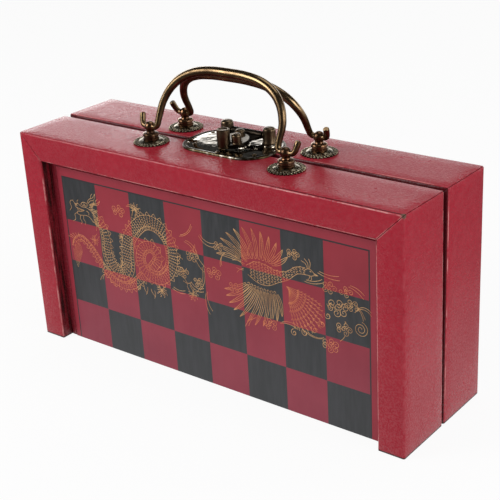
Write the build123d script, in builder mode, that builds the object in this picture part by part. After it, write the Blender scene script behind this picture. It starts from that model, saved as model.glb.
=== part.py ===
"""Folding chess board that closes into a carrying case.

Two half boxes stand side by side on their bottom edges, joined there by a leatherette strip.
Their outer faces carry the two halves of the board, and their insides are trays for the men.
X runs along the length, Y from the front half to the rear half, Z up. The origin lies on the
table in the middle of the case, on the seam. The seam plane is XZ, and the rear half is the
front half mirrored in it. Sizes are in millimetres.
"""
from build123d import *
from math import asin, atan2, cos, pi, radians, sin
import os

os.makedirs("parts", exist_ok=True)

# Case
case_length = 310.0
case_height = 157.0
half_depth = 44.0
seam_top = 4.6
seam_bottom = 1.6
frame_width = 18.6
edge_radius = 1.3
inner_edge_radius = 0.7
mitre_gap = 0.2
fit_clearance = 0.1
touch = 0.01

# Panel of one half
recess_depth = 8.7
print_thickness = 1.5
print_edge_radius = 0.3
bead_thickness = 1.2
bead_width = 4.2
bead_gap = 0.7
base_thickness = 4.0
spine_thickness = 9.0

# Tray of one half
lining_thickness = 1.0
divider_thickness = 2.4
divider_setback = 2.0
divider_past_post = 12.6
tray_columns = 4

# Strip hinge
strip_end_gap = 3.0
strip_width = 18.0
strip_thickness = 0.8

# Eye posts, rosettes and nuts
post_spacing = 111.2
posts_middle_x = -0.6
post_from_seam = 17.6
eye_height = 10.7
ball_radius = 3.7
collar_radius = 5.35
collar_height = 4.6
collar_groove = 0.6
collar_groove_low = 1.2
collar_groove_high = 2.5
collar_groove_slope = 0.4
collar_bevel_in = 1.0
collar_bevel_down = 0.7
neck_radius = 3.0
shank_radius = 2.0
shank_clearance = 0.1
rosette_radius = 12.0
rosette_height = 2.2
rosette_rim = 0.8
rosette_crown = 0.72
rosette_seat_radius = 5.8
petal_count = 30
petal_depth = 0.45
washer_radius = 4.5
washer_thickness = 0.8
nut_across_flats = 7.0
nut_height = 3.2
shank_past_nut = 0.8

# Bails
neck_rod_radius = 1.9
bore_clearance = 0.05
leg_radius = 2.15
grip_radius = 3.2
leg_to_eye = 6.4
arch_bulge = 0.7
arch_squareness = 2.88
front_bail_height = 41.9
front_bail_lean = 18.3
front_bail_sideways = 3.4
rear_bail_height = 39.4
rear_bail_lean = 25.2
rear_bail_sideways = -0.6
heel_bend = 2.6
horn_corner_from_eye = 6.3
horn_tip_from_eye = 8.0
horn_tip_height = 8.3
leg_start = 4.0
root_overlap = 1.5
root_step = 0.4

# Clasp plate
plate_x = -2.5
plate_length = 69.0
front_plate_depth = 19.7
rear_plate_depth = 26.0
plate_corner_radius = 18.0
plate_thickness = 1.6
plate_rim_radius = 1.2
plate_gap = 0.6
field_inset = 4.0
field_rise = 0.5
field_edge_radius = 0.35
boss_x = 1.2
boss_y = -1.2
boss_radius = 10.6
boss_height = 3.2
finial_pad_radius = 5.8
finial_pad_height = 2.8
cut_height = 12.0

# Locking post
lock_x = 0.4
lock_y = -10.4
lock_radius = 4.3
lock_height = 12.3
lock_bevel = 0.8
lock_rim = 0.6
lock_cup_depth = 0.5
peg_radius = 1.5
peg_length = 13.0
peg_clearance = 0.1

# Hasp, its finials and pin
finials_middle_x = 3.2
finial_half_spacing = 17.3
finial_y = 11.5
finial_base_radius = 4.9
finial_top_radius = 4.1
finial_height = 10.8
finial_foot_height = 1.0
finial_dome_height = 1.6
pin_height = 7.4
pin_radius = 1.5
pin_length = 38.0
pin_chamfer = 0.3
knuckle_radius = 2.4
knuckle_end_gap = 0.35
hasp_radius = 10.9
hasp_thickness = 1.8
hasp_lift = 0.2
slot_clearance = 0.4
leaf_below_pin = 1.7
leaf_waist = 8.7
leaf_flare = 7.5
stud_radius = 3.5
stud_foot = 0.8
stud_step = 0.3
stud_step_height = 0.4
stud_bevel_in = 0.8
stud_bevel_down = 1.0
studs = [(7.9, -6.2, 6.6), (2.2, 4.4, 4.6)]
rivet_radius = 1.2
rivet_clearance = 0.05

# Nails
nail_head_radius = 1.5
nail_head_height = 0.9
nail_radius = 0.7
nail_length = 9.0
nail_clearance = 0.05
nail_seat = 1.6
front_nails = [(-24.0, -10.8), (0.2, -16.9), (24.0, -9.5)]
rear_nails = [(-28.5, 13.4), (25.5, 14.5), (3.0, 23.2)]

# Places worked out from the sizes, for the front half
front_y = -(half_depth + seam_top / 2)
seam_top_y = -seam_top / 2
seam_bottom_y = -seam_bottom / 2
inner_half = case_length / 2 - frame_width
rail_bottom = case_height - frame_width
print_y = front_y + recess_depth
base_y = print_y + print_thickness
lining_y = base_y + base_thickness
tray_y = lining_y + lining_thickness
divider_y = seam_top_y - divider_setback
divider_depth = divider_y - tray_y
tray_low = spine_thickness + fit_clearance
tray_high = rail_bottom - fit_clearance
tray_middle = (tray_low + tray_high) / 2
column_width = (post_spacing + 2 * divider_past_post) / (tray_columns - 2)
divider_places = [column_width * (i - tray_columns / 2) for i in range(1, tray_columns)]
eye_places = {"left": posts_middle_x - post_spacing / 2, "right": posts_middle_x + post_spacing / 2}
eye_z = case_height + eye_height
pin_z = case_height + pin_height
plate_top = Plane.XY.offset(case_height)
pin_to_disc = finial_y - boss_y
leaf_drop = pin_height - leaf_below_pin - boss_height - hasp_lift
leaf_slope = atan2(leaf_drop, pin_to_disc + hasp_radius)
knuckle_half = finial_half_spacing - finial_base_radius - knuckle_end_gap
strip_length = case_length - 2 * strip_end_gap
bail_half_width = post_spacing / 2 - leg_to_eye


def seam_y(height):
    """The seam face of the front half at a height: it leans a little, so the gap narrows downwards."""
    return seam_bottom_y + (seam_top_y - seam_bottom_y) * height / case_height


def mitre_plane(end, shift):
    """The mitre at one top corner (end is -1 for left, 1 for right), moved along its normal."""
    corner = Plane(origin=(end * case_length / 2, 0, case_height), z_dir=(-end, 0, 1))
    return corner.offset(shift)


def upright(x, y):
    """The vertical plane through a post's axis, for profiles to be revolved."""
    return Plane(origin=(x, y, case_height), x_dir=(1, 0, 0), z_dir=(0, -1, 0))


def axis_of(x, y):
    return Axis((x, y, case_height), (0, 0, 1))


def dome_middle(radius, height):
    """The middle point of a dome's arc, for a dome centred on its axis, measured from its rim."""
    sphere_radius = (radius**2 + height**2) / (2 * height)
    half_turn = asin(radius / sphere_radius) / 2
    return (sphere_radius * sin(half_turn), height - sphere_radius * (1 - cos(half_turn)))


# Strip hinge: each half of the strip lies in a rebate along the bottom, up to the fold on the seam

with BuildPart() as hinge_flap:
    with BuildSketch(Plane.XY):
        Rectangle(strip_length, strip_width, align=(Align.CENTER, Align.MAX))
    extrude(amount=strip_thickness)

# Frame: the stiles and the top rail are bars of one section, mitred where they meet

stiles = {}
for side, end in (("left", -1), ("right", 1)):
    with BuildPart() as stile:
        with BuildSketch(Plane.YZ.offset(end * (inner_half + frame_width / 2))):
            with BuildLine():
                Polyline(
                    (front_y, 0),
                    (seam_bottom_y, 0),
                    (seam_top_y, case_height),
                    (front_y, case_height),
                    close=True,
                )
            make_face()
        extrude(amount=frame_width / 2, both=True)
        for x, radius in ((end * case_length / 2, edge_radius), (end * inner_half, inner_edge_radius)):
            uprights = stile.edges().filter_by_position(Axis.X, x - touch, x + touch)
            fillet(uprights.sort_by(SortBy.LENGTH)[-2:], radius)
        split(bisect_by=mitre_plane(end, -mitre_gap / 2), keep=Keep.BOTTOM)
        add(hinge_flap.part, mode=Mode.SUBTRACT)
    stiles[side] = stile


def top_rail(peg_holes, nail_holes):
    """The top rail, bored for the two eye posts, the clasp's pegs and its nails."""
    with BuildPart() as rail:
        with BuildSketch(Plane.YZ):
            with BuildLine():
                Polyline(
                    (front_y, rail_bottom),
                    (seam_y(rail_bottom), rail_bottom),
                    (seam_top_y, case_height),
                    (front_y, case_height),
                    close=True,
                )
            make_face()
        extrude(amount=case_length / 2, both=True)
        for z, radius in ((case_height, edge_radius), (rail_bottom, inner_edge_radius)):
            level = rail.edges().filter_by_position(Axis.Z, z - touch, z + touch)
            fillet(level.sort_by(SortBy.LENGTH)[-2:], radius)
        for end in (-1, 1):
            split(bisect_by=mitre_plane(end, mitre_gap / 2), keep=Keep.TOP)
        with BuildSketch(plate_top):
            with Locations(*[(x, -post_from_seam) for x in eye_places.values()]):
                Circle(shank_radius + shank_clearance)
        extrude(amount=-frame_width, mode=Mode.SUBTRACT)
        with BuildSketch(plate_top):
            with Locations(*peg_holes):
                Circle(peg_radius + peg_clearance)
        extrude(amount=-(peg_length + peg_clearance), mode=Mode.SUBTRACT)
        with BuildSketch(plate_top):
            with Locations(*nail_holes):
                Circle(nail_radius + nail_clearance)
        extrude(amount=-(nail_length + nail_clearance), mode=Mode.SUBTRACT)
    return rail


# Bottom wall, boards and beads

with BuildPart() as spine:
    with BuildSketch(Plane.YZ):
        with BuildLine():
            Polyline(
                (lining_y, 0),
                (seam_bottom_y, 0),
                (seam_y(spine_thickness), spine_thickness),
                (lining_y, spine_thickness),
                close=True,
            )
        make_face()
    extrude(amount=inner_half - fit_clearance, both=True)
    add(hinge_flap.part, mode=Mode.SUBTRACT)

with BuildPart() as base_board:
    with BuildSketch(Plane.XZ.offset(-base_y)):
        Rectangle(
            2 * (inner_half - fit_clearance),
            rail_bottom - fit_clearance,
            align=(Align.CENTER, Align.MIN),
        )
    extrude(amount=-base_thickness)

bead_x = inner_half - fit_clearance - bead_width / 2
with BuildPart() as panel_beads:
    with BuildSketch(Plane.XZ.offset(-base_y)):
        with Locations((-bead_x, 0), (bead_x, 0)):
            Rectangle(bead_width, rail_bottom - fit_clearance, align=(Align.CENTER, Align.MIN))
        with Locations((0, rail_bottom - fit_clearance)):
            Rectangle(
                2 * (bead_x - bead_width / 2 - fit_clearance),
                bead_width,
                align=(Align.CENTER, Align.MAX),
            )
    extrude(amount=bead_thickness)

with BuildPart() as printed_board:
    with BuildSketch(Plane.XZ.offset(-base_y)):
        Rectangle(
            2 * (bead_x - bead_width / 2 - bead_gap),
            rail_bottom - fit_clearance - bead_width - bead_gap,
            align=(Align.CENTER, Align.MIN),
        )
    extrude(amount=print_thickness)
    fillet(printed_board.faces().sort_by(Axis.Y)[0].edges(), print_edge_radius)

# Tray: a lining board and an egg-crate of dividers halved over each other

with BuildPart() as lining_board:
    with BuildSketch(Plane.XZ.offset(-lining_y)):
        with Locations((0, tray_low)):
            Rectangle(
                2 * (inner_half - fit_clearance),
                tray_high - tray_low,
                align=(Align.CENTER, Align.MIN),
            )
    extrude(amount=-lining_thickness)

slot_width = divider_thickness + 2 * fit_clearance
slot_depth = divider_depth / 2 + fit_clearance
with BuildPart() as long_divider:
    with BuildSketch(Plane.XY.offset(tray_middle)):
        with Locations((0, tray_y)):
            Rectangle(
                2 * (inner_half - fit_clearance),
                divider_depth,
                align=(Align.CENTER, Align.MIN),
            )
        with Locations(*[(x, tray_y) for x in divider_places]):
            Rectangle(slot_width, slot_depth, align=(Align.CENTER, Align.MIN), mode=Mode.SUBTRACT)
    extrude(amount=divider_thickness / 2, both=True)

with BuildPart() as cross_dividers:
    for x in divider_places:
        with BuildSketch(Plane.YZ.offset(x)):
            with Locations((tray_y, tray_low)):
                Rectangle(divider_depth, tray_high - tray_low, align=(Align.MIN, Align.MIN))
            with Locations((divider_y, tray_middle)):
                Rectangle(slot_depth, slot_width, align=(Align.MAX, Align.CENTER), mode=Mode.SUBTRACT)
        extrude(amount=divider_thickness / 2, both=True)

# Rosettes, eye posts and nuts

bore_radius = shank_radius + shank_clearance
rosettes = {}
posts = {}
for side, eye_x in eye_places.items():
    foot = Plane(origin=(eye_x, -post_from_seam, case_height))

    with BuildPart() as rosette:
        with BuildSketch(upright(eye_x, -post_from_seam)):
            with BuildLine():
                rim = Line((rosette_radius, 0), (rosette_radius, rosette_rim))
                crown = (
                    (rosette_radius + rosette_seat_radius) / 2,
                    rosette_rim + rosette_crown * (rosette_height - rosette_rim),
                )
                ThreePointArc(rim @ 1, crown, (rosette_seat_radius, rosette_height))
                Polyline(
                    (rosette_seat_radius, rosette_height),
                    (bore_radius, rosette_height),
                    (bore_radius, 0),
                    (rosette_radius, 0),
                )
            make_face()
        revolve(axis=axis_of(eye_x, -post_from_seam))
        petal_pitch = 2 * pi * rosette_radius / petal_count
        with BuildSketch(foot):
            with PolarLocations(rosette_radius + petal_pitch / 2 - petal_depth, petal_count):
                Circle(petal_pitch / 2)
        extrude(amount=rosette_height, mode=Mode.SUBTRACT)
    rosettes[side] = rosette

    shank_low = -(frame_width + washer_thickness + nut_height + shank_past_nut)
    collar_low = rosette_height
    collar_top = rosette_height + collar_height
    groove_low = collar_low + collar_groove_low
    groove_high = collar_low + collar_groove_high
    with BuildPart() as post:
        with BuildSketch(upright(eye_x, -post_from_seam)):
            with BuildLine():
                Polyline(
                    (0, shank_low),
                    (shank_radius, shank_low),
                    (shank_radius, collar_low),
                    (collar_radius, collar_low),
                    (collar_radius, groove_low),
                    (collar_radius - collar_groove, groove_low + collar_groove_slope),
                    (collar_radius - collar_groove, groove_high - collar_groove_slope),
                    (collar_radius, groove_high),
                    (collar_radius, collar_top - collar_bevel_down),
                    (collar_radius - collar_bevel_in, collar_top),
                    (neck_radius, collar_top),
                    (neck_radius, eye_height),
                    (0, eye_height),
                    close=True,
                )
            make_face()
        revolve(axis=axis_of(eye_x, -post_from_seam))
        with Locations((eye_x, -post_from_seam, eye_z)):
            Sphere(ball_radius)
        with BuildSketch(Plane(origin=(eye_x, -post_from_seam, eye_z), z_dir=(1, 0, 0))):
            Circle(neck_rod_radius + bore_clearance)
        extrude(amount=2 * ball_radius, both=True, mode=Mode.SUBTRACT)
    posts[side] = post

with BuildPart() as post_nuts:
    for eye_x in eye_places.values():
        with BuildSketch(Plane(origin=(eye_x, -post_from_seam, rail_bottom), z_dir=(0, 0, -1))):
            Circle(washer_radius)
            Circle(shank_radius + shank_clearance, mode=Mode.SUBTRACT)
        extrude(amount=washer_thickness)
        nut_plane = Plane(
            origin=(eye_x, -post_from_seam, rail_bottom - washer_thickness), z_dir=(0, 0, -1)
        )
        with BuildSketch(nut_plane):
            RegularPolygon(nut_across_flats / 2, 6, major_radius=False)
            Circle(shank_radius + shank_clearance, mode=Mode.SUBTRACT)
        extrude(amount=nut_height)

# Bails: a squarish arch of round rod, thicker at the grip, with a necked pin and a horn at each end.
# The rear bail leans further, so that its grip lies behind and a little below the front one's.

arch_turns = [14, 26, 40, 56, 73, 90, 107, 124, 140, 154, 166]
stations = [0.0, 0.06, 0.14, 0.23, 0.34, 0.5, 0.66, 0.77, 0.86, 0.94, 1.0]


def arch_point(turn, height, sideways):
    """A point of the arch in the bail's own plane, turn in degrees from one leg to the other."""
    across = cos(radians(turn))
    rise = sin(radians(turn))
    power = 2 / arch_squareness
    sign = 1 if across >= 0 else -1
    up = rise**power
    x = sign * (bail_half_width + arch_bulge) * abs(across) ** power
    return (x + sideways * up, height * up)


def rod_radius(turn):
    """The rod swells from the leg to the grip over the arch."""
    return leg_radius + (grip_radius - leg_radius) * sin(radians(turn))


def make_bail(height, lean, sideways):
    """A bail in the front posts' eyes, leaning over the seam, with its grip a little to one side."""
    bail_plane = Plane(
        origin=(posts_middle_x, -post_from_seam, eye_z),
        x_dir=(1, 0, 0),
        z_dir=(0, -cos(radians(lean)), sin(radians(lean))),
    )
    with BuildPart() as bail:
        with BuildLine(bail_plane) as arch:
            Spline(
                (bail_half_width, leg_start),
                *[arch_point(turn, height, sideways) for turn in arch_turns],
                (-bail_half_width, leg_start),
            )
        path = arch.wires()[0]
        for station in stations:
            step = root_step if station in (0.0, 1.0) else 0.0
            with BuildSketch(Plane(origin=path @ station, z_dir=path % station)):
                Circle(rod_radius(180 * station) - step)
        loft()
        for end in (-1, 1):
            with BuildLine(bail_plane) as horn:
                FilletPolyline(
                    (end * (post_spacing / 2 + horn_tip_from_eye), horn_tip_height),
                    (end * (post_spacing / 2 + horn_corner_from_eye), 0),
                    (end * bail_half_width, 0),
                    (end * bail_half_width, leg_start + root_overlap),
                    radius=heel_bend,
                )
            horn_path = horn.wires()[0]
            with BuildSketch(Plane(origin=horn_path @ 0, z_dir=horn_path % 0)):
                Circle(neck_rod_radius)
            sweep(path=horn_path)
    return bail


front_bail = make_bail(front_bail_height, front_bail_lean, front_bail_sideways)
rear_bail = make_bail(rear_bail_height, rear_bail_lean, rear_bail_sideways)

# Clasp plates: a squarish oval with a rolled rim and a low raised field, cut along the seam


def plate_outline(inset):
    """The whole plate's outline, or a smaller one inside it."""
    with Locations((plate_x, (rear_plate_depth - front_plate_depth) / 2)):
        RectangleRounded(
            plate_length - 2 * inset,
            front_plate_depth + rear_plate_depth - 2 * inset,
            plate_corner_radius - inset,
        )


def clasp_plate(end, peg_places, nail_places):
    """Half of the plate: end is -1 for the front half and 1 for the rear half."""
    with BuildPart() as plate:
        with BuildSketch(plate_top):
            plate_outline(0)
        extrude(amount=plate_thickness)
        fillet(plate.faces().sort_by(Axis.Z)[-1].edges(), plate_rim_radius)
        with BuildSketch(plate_top.offset(plate_thickness)):
            plate_outline(field_inset)
        extrude(amount=field_rise)
        fillet(plate.faces().sort_by(Axis.Z)[-1].edges(), field_edge_radius)
        with BuildSketch(plate_top):
            with Locations((boss_x, boss_y)):
                Circle(boss_radius)
        extrude(amount=boss_height)
        with BuildSketch(plate_top):
            with Locations(*finial_places):
                Circle(finial_pad_radius)
        extrude(amount=finial_pad_height)
        with BuildSketch(plate_top):
            with Locations(*peg_places):
                Circle(peg_radius + peg_clearance)
            with Locations(*nail_places):
                Circle(nail_radius + nail_clearance)
        extrude(amount=cut_height, mode=Mode.SUBTRACT)
        with BuildSketch(plate_top.offset(nail_seat)):
            with Locations(*nail_places):
                Circle(nail_head_radius + nail_clearance)
        extrude(amount=cut_height, mode=Mode.SUBTRACT)
        split(bisect_by=Plane.XZ.offset(-end * plate_gap / 2), keep=Keep.TOP if end < 0 else Keep.BOTTOM)
    return plate


lock_place = [(lock_x, lock_y)]
finial_places = [(finials_middle_x + end * finial_half_spacing, finial_y) for end in (-1, 1)]
front_plate = clasp_plate(-1, lock_place, front_nails)
rear_plate = clasp_plate(1, finial_places, rear_nails)

with BuildPart() as locking_post:
    with BuildSketch(upright(lock_x, lock_y)):
        with BuildLine():
            lock_top = boss_height + lock_height
            Polyline(
                (0, -peg_length),
                (peg_radius, -peg_length),
                (peg_radius, boss_height),
                (lock_radius, boss_height),
                (lock_radius, lock_top - lock_bevel),
                (lock_radius - lock_bevel, lock_top),
                (lock_radius - lock_bevel - lock_rim, lock_top),
                (lock_radius - lock_bevel - 2 * lock_rim, lock_top - lock_cup_depth),
                (0, lock_top - lock_cup_depth),
                close=True,
            )
        make_face()
    revolve(axis=axis_of(lock_x, lock_y))

finials = {}
for side, (x, y) in zip(("left", "right"), finial_places):
    with BuildPart() as finial:
        with BuildSketch(upright(x, y)):
            with BuildLine():
                finial_top = finial_pad_height + finial_height
                dome_low = finial_top - finial_dome_height
                dome_x, dome_rise = dome_middle(finial_top_radius, finial_dome_height)
                Polyline(
                    (0, -peg_length),
                    (peg_radius, -peg_length),
                    (peg_radius, finial_pad_height),
                    (finial_base_radius, finial_pad_height),
                    (finial_base_radius, finial_pad_height + finial_foot_height),
                    (finial_top_radius, dome_low),
                )
                dome_top = (0, finial_top)
                ThreePointArc((finial_top_radius, dome_low), (dome_x, dome_low + dome_rise), dome_top)
                Line(dome_top, (0, -peg_length))
            make_face()
        revolve(axis=axis_of(x, y))
        with BuildSketch(Plane(origin=(x, y, pin_z), z_dir=(1, 0, 0))):
            Circle(pin_radius + bore_clearance)
        extrude(amount=2 * finial_base_radius, both=True, mode=Mode.SUBTRACT)
    finials[side] = finial

pin_middle = (finials_middle_x, finial_y, pin_z)
with BuildPart() as hasp_pin:
    with BuildSketch(Plane(origin=pin_middle, z_dir=(1, 0, 0))):
        Circle(pin_radius)
    extrude(amount=pin_length / 2, both=True)
    chamfer(hasp_pin.edges().filter_by(GeomType.CIRCLE), pin_chamfer)

# Hasp: a flat leaf that slopes from the pin to a round end, with an open notch for the locking post

leaf_plane = Plane(origin=pin_middle, x_dir=(1, 0, 0), z_dir=(0, -sin(leaf_slope), cos(leaf_slope)))
leaf_under = leaf_plane.offset(-leaf_below_pin)
disc_place = (boss_x - finials_middle_x, -pin_to_disc / cos(leaf_slope))
stud_feet = [(x - finials_middle_x, (y - finial_y) / cos(leaf_slope)) for x, y, _ in studs]
with BuildPart() as hasp:
    with BuildSketch(leaf_under):
        with Locations(disc_place):
            Circle(hasp_radius)
        with BuildLine():
            Polyline(
                (-leaf_waist, disc_place[1]),
                (leaf_waist, disc_place[1]),
                (leaf_waist, -leaf_flare),
                (knuckle_half, -knuckle_radius),
                (knuckle_half, 0),
                (-knuckle_half, 0),
                (-knuckle_half, -knuckle_radius),
                (-leaf_waist, -leaf_flare),
                close=True,
            )
        make_face()
    extrude(amount=hasp_thickness)
    with BuildSketch(Plane(origin=pin_middle, z_dir=(1, 0, 0))):
        Circle(knuckle_radius)
    extrude(amount=knuckle_half, both=True)
    with BuildSketch(plate_top):
        with Locations((lock_x, lock_y + slot_clearance)):
            notch_radius = lock_radius + slot_clearance
            Circle(notch_radius)
            Rectangle(2 * notch_radius, 2 * hasp_radius, align=(Align.CENTER, Align.MAX))
    extrude(amount=cut_height, mode=Mode.SUBTRACT)
    with BuildSketch(leaf_under):
        with Locations(*stud_feet):
            Circle(rivet_radius + rivet_clearance)
    extrude(amount=hasp_thickness, mode=Mode.SUBTRACT)
    with BuildSketch(Plane(origin=pin_middle, z_dir=(1, 0, 0))):
        Circle(pin_radius + bore_clearance)
    extrude(amount=2 * knuckle_half, both=True, mode=Mode.SUBTRACT)

with BuildPart() as hasp_studs:
    for foot, (_, _, height) in zip(stud_feet, studs):
        foot_middle = leaf_under.from_local_coords(Vector(*foot, 0))
        stud_top = hasp_thickness + height
        with BuildSketch(Plane(origin=foot_middle, x_dir=(1, 0, 0), z_dir=-leaf_plane.y_dir)):
            with BuildLine():
                Polyline(
                    (0, 0),
                    (rivet_radius, 0),
                    (rivet_radius, hasp_thickness),
                    (stud_radius, hasp_thickness),
                    (stud_radius, hasp_thickness + stud_foot),
                    (stud_radius - stud_step, hasp_thickness + stud_foot + stud_step_height),
                    (stud_radius - stud_step, stud_top - stud_bevel_down),
                    (stud_radius - stud_step - stud_bevel_in, stud_top),
                    (0, stud_top),
                    close=True,
                )
            make_face()
        revolve(axis=Axis(foot_middle, leaf_plane.z_dir))


def nails(places):
    """Round-headed nails through a clasp plate, each head in a shallow seat."""
    head_x, head_rise = dome_middle(nail_head_radius, nail_head_height)
    head_top = nail_seat + nail_head_height
    with BuildPart() as group:
        for x, y in places:
            with BuildSketch(upright(x, y)):
                with BuildLine():
                    Polyline(
                        (0, -nail_length),
                        (nail_radius, -nail_length),
                        (nail_radius, nail_seat),
                        (nail_head_radius, nail_seat),
                    )
                    head_side = (head_x, nail_seat + head_rise)
                    ThreePointArc((nail_head_radius, nail_seat), head_side, (0, head_top))
                    Line((0, head_top), (0, -nail_length))
                make_face()
            revolve(axis=axis_of(x, y))
    return group


# Every piece of the front half has a mirror twin in the rear half

front_pieces = {
    "left_stile": stiles["left"],
    "right_stile": stiles["right"],
    "spine": spine,
    "base_board": base_board,
    "panel_beads": panel_beads,
    "printed_board": printed_board,
    "hinge_flap": hinge_flap,
    "lining_board": lining_board,
    "long_divider": long_divider,
    "cross_dividers": cross_dividers,
    "left_rosette": rosettes["left"],
    "right_rosette": rosettes["right"],
    "left_post": posts["left"],
    "right_post": posts["right"],
    "post_nuts": post_nuts,
}


def rear_twin(front):
    """The mirror image of a front piece in the seam plane."""
    with BuildPart() as twin:
        mirror(front.part, about=Plane.XZ)
    return twin


pieces = {}
for name, piece in front_pieces.items():
    pieces[f"front_{name}"] = piece
    pieces[f"rear_{name}"] = rear_twin(piece)

pieces["front_bail"] = front_bail
pieces["rear_bail"] = rear_twin(rear_bail)
pieces["front_top_rail"] = top_rail(lock_place, front_nails)
rear_pegs = [(x, -y) for x, y in finial_places]
rear_nail_holes = [(x, -y) for x, y in rear_nails]
pieces["rear_top_rail"] = rear_twin(top_rail(rear_pegs, rear_nail_holes))
pieces["front_clasp_plate"] = front_plate
pieces["rear_clasp_plate"] = rear_plate
pieces["front_clasp_nails"] = nails(front_nails)
pieces["rear_clasp_nails"] = nails(rear_nails)
pieces["locking_post"] = locking_post
pieces["left_finial"] = finials["left"]
pieces["right_finial"] = finials["right"]
pieces["hasp_pin"] = hasp_pin
pieces["hasp"] = hasp
pieces["hasp_studs"] = hasp_studs

for name, piece in pieces.items():
    piece.part.label = name
    export_step(piece.part, f"parts/{name}.step")
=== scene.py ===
"""The looks of the folding chess board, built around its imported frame.

Lengths are in millimetres and are turned into metres where they are used. Only the worn corner, the
crease's ends, the floor's drop and reach, the lamps and the camera are given in metres.
"""
from functools import partial
from math import cos, hypot, pi, radians, sin

import bpy
from mathutils import Matrix, Vector


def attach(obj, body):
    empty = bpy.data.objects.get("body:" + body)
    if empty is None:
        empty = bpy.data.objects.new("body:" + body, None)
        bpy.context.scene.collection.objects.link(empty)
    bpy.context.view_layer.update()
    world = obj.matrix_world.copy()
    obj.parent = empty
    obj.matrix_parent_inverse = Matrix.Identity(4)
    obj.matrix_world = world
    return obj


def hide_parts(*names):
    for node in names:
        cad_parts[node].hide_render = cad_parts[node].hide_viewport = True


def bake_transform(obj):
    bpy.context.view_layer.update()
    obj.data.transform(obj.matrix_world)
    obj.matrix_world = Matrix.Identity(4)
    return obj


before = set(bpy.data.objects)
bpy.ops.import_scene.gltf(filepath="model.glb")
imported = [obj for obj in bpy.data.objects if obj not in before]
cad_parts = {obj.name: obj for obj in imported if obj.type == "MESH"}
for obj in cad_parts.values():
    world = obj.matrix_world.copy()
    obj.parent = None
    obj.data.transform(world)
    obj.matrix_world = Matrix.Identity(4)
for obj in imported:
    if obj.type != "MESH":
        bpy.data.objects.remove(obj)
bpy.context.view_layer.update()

# Frame bars
# Each half of the case is a three-sided frame of fibreboard bars, wrapped in red leatherette and mitred
# at the two upper corners. The wrap is pulled round the edges, which are soft and rub pale, and the bars
# stand open at the foot, where the board runs down to the table.

MM = 0.001
case_half_length = 155.0
case_half_depth = 46.3
case_height = 157.0
bar_width = 18.6
seam_top = 2.3
seam_foot = 0.8
outer_rounding = 1.3
inner_rounding = 0.8
mitre_rounding = 0.45
mitre_half_gap = 0.16
foot_lift = 0.12
loop_spacing = 9.0
wave_height = 0.1


def deselect():
    """Leave nothing selected, in object mode."""
    if bpy.context.mode != "OBJECT":
        bpy.ops.object.mode_set(mode="OBJECT")
    bpy.ops.object.select_all(action="DESELECT")


def pick(piece):
    """Select one piece alone and make it active."""
    deselect()
    piece.select_set(True)
    bpy.context.view_layer.objects.active = piece


def apply_place():
    """Put the picked piece's place, turn and size into its mesh."""
    bpy.ops.object.transform_apply(location=True, rotation=True, scale=True)


def edit_all(piece):
    """Go into edit mode on a piece, with all of it selected."""
    pick(piece)
    bpy.ops.object.mode_set(mode="EDIT")
    bpy.ops.mesh.select_all(action="SELECT")


def leave_edit(outwards=False):
    """Go back to object mode; with outwards, all faces are turned outwards first."""
    if outwards:
        bpy.ops.mesh.select_all(action="SELECT")
        bpy.ops.mesh.normals_make_consistent(inside=False)
    bpy.ops.object.mode_set(mode="OBJECT")


def new_box(low, high):
    """A box between two corners given in millimetres."""
    deselect()
    middle = [(a + b) / 2 * MM for a, b in zip(low, high)]
    bpy.ops.mesh.primitive_cube_add(size=1, location=middle)
    piece = bpy.context.object
    piece.scale = [(b - a) * MM for a, b in zip(low, high)]
    apply_place()
    return piece


def cut(piece, point, normal, fill=True):
    """Bisect a piece; with fill, what lies on the normal's side is cut off and the cut is closed."""
    edit_all(piece)
    bpy.ops.mesh.bisect(
        plane_co=[c * MM for c in point], plane_no=normal, use_fill=fill, clear_outer=fill, threshold=1e-7
    )
    leave_edit()


def round_edges(piece, wanted, radius, segments=3):
    """Bevel the edges whose two ends, in millimetres, pass the test."""
    edit_all(piece)
    bpy.ops.mesh.select_mode(type="EDGE")
    bpy.ops.mesh.select_all(action="DESELECT")
    leave_edit()
    points = piece.data.vertices
    for edge in piece.data.edges:
        a, b = (points[i].co / MM for i in edge.vertices)
        edge.select = wanted(a, b)
    bpy.ops.object.mode_set(mode="EDIT")
    bpy.ops.mesh.bevel(offset=radius * MM, segments=segments, affect="EDGES")
    leave_edit()


def smooth(piece, angle=35):
    pick(piece)
    bpy.ops.object.shade_smooth_by_angle(angle=radians(angle))
    return piece


def add_modifier(piece, kind, **settings):
    """Add a modifier with its settings and apply it."""
    pick(piece)
    modifier = piece.modifiers.new(kind.title(), kind)
    for name, value in settings.items():
        setattr(modifier, name, value)
    bpy.ops.object.modifier_apply(modifier=modifier.name)


def seam_at(z):
    return seam_foot + (seam_top - seam_foot) * z / case_height


leather_wave = bpy.data.textures.new("leather wave", "CLOUDS")
leather_wave.noise_scale = 0.03


def mitre_edges(point, normal):
    """A test for edges that lie in the plane of a mitre."""
    flat = Vector(normal).normalized()
    corner = Vector(point)
    return lambda a, b: all(abs((p - corner).dot(flat)) < 1e-3 for p in (a, b))


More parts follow.
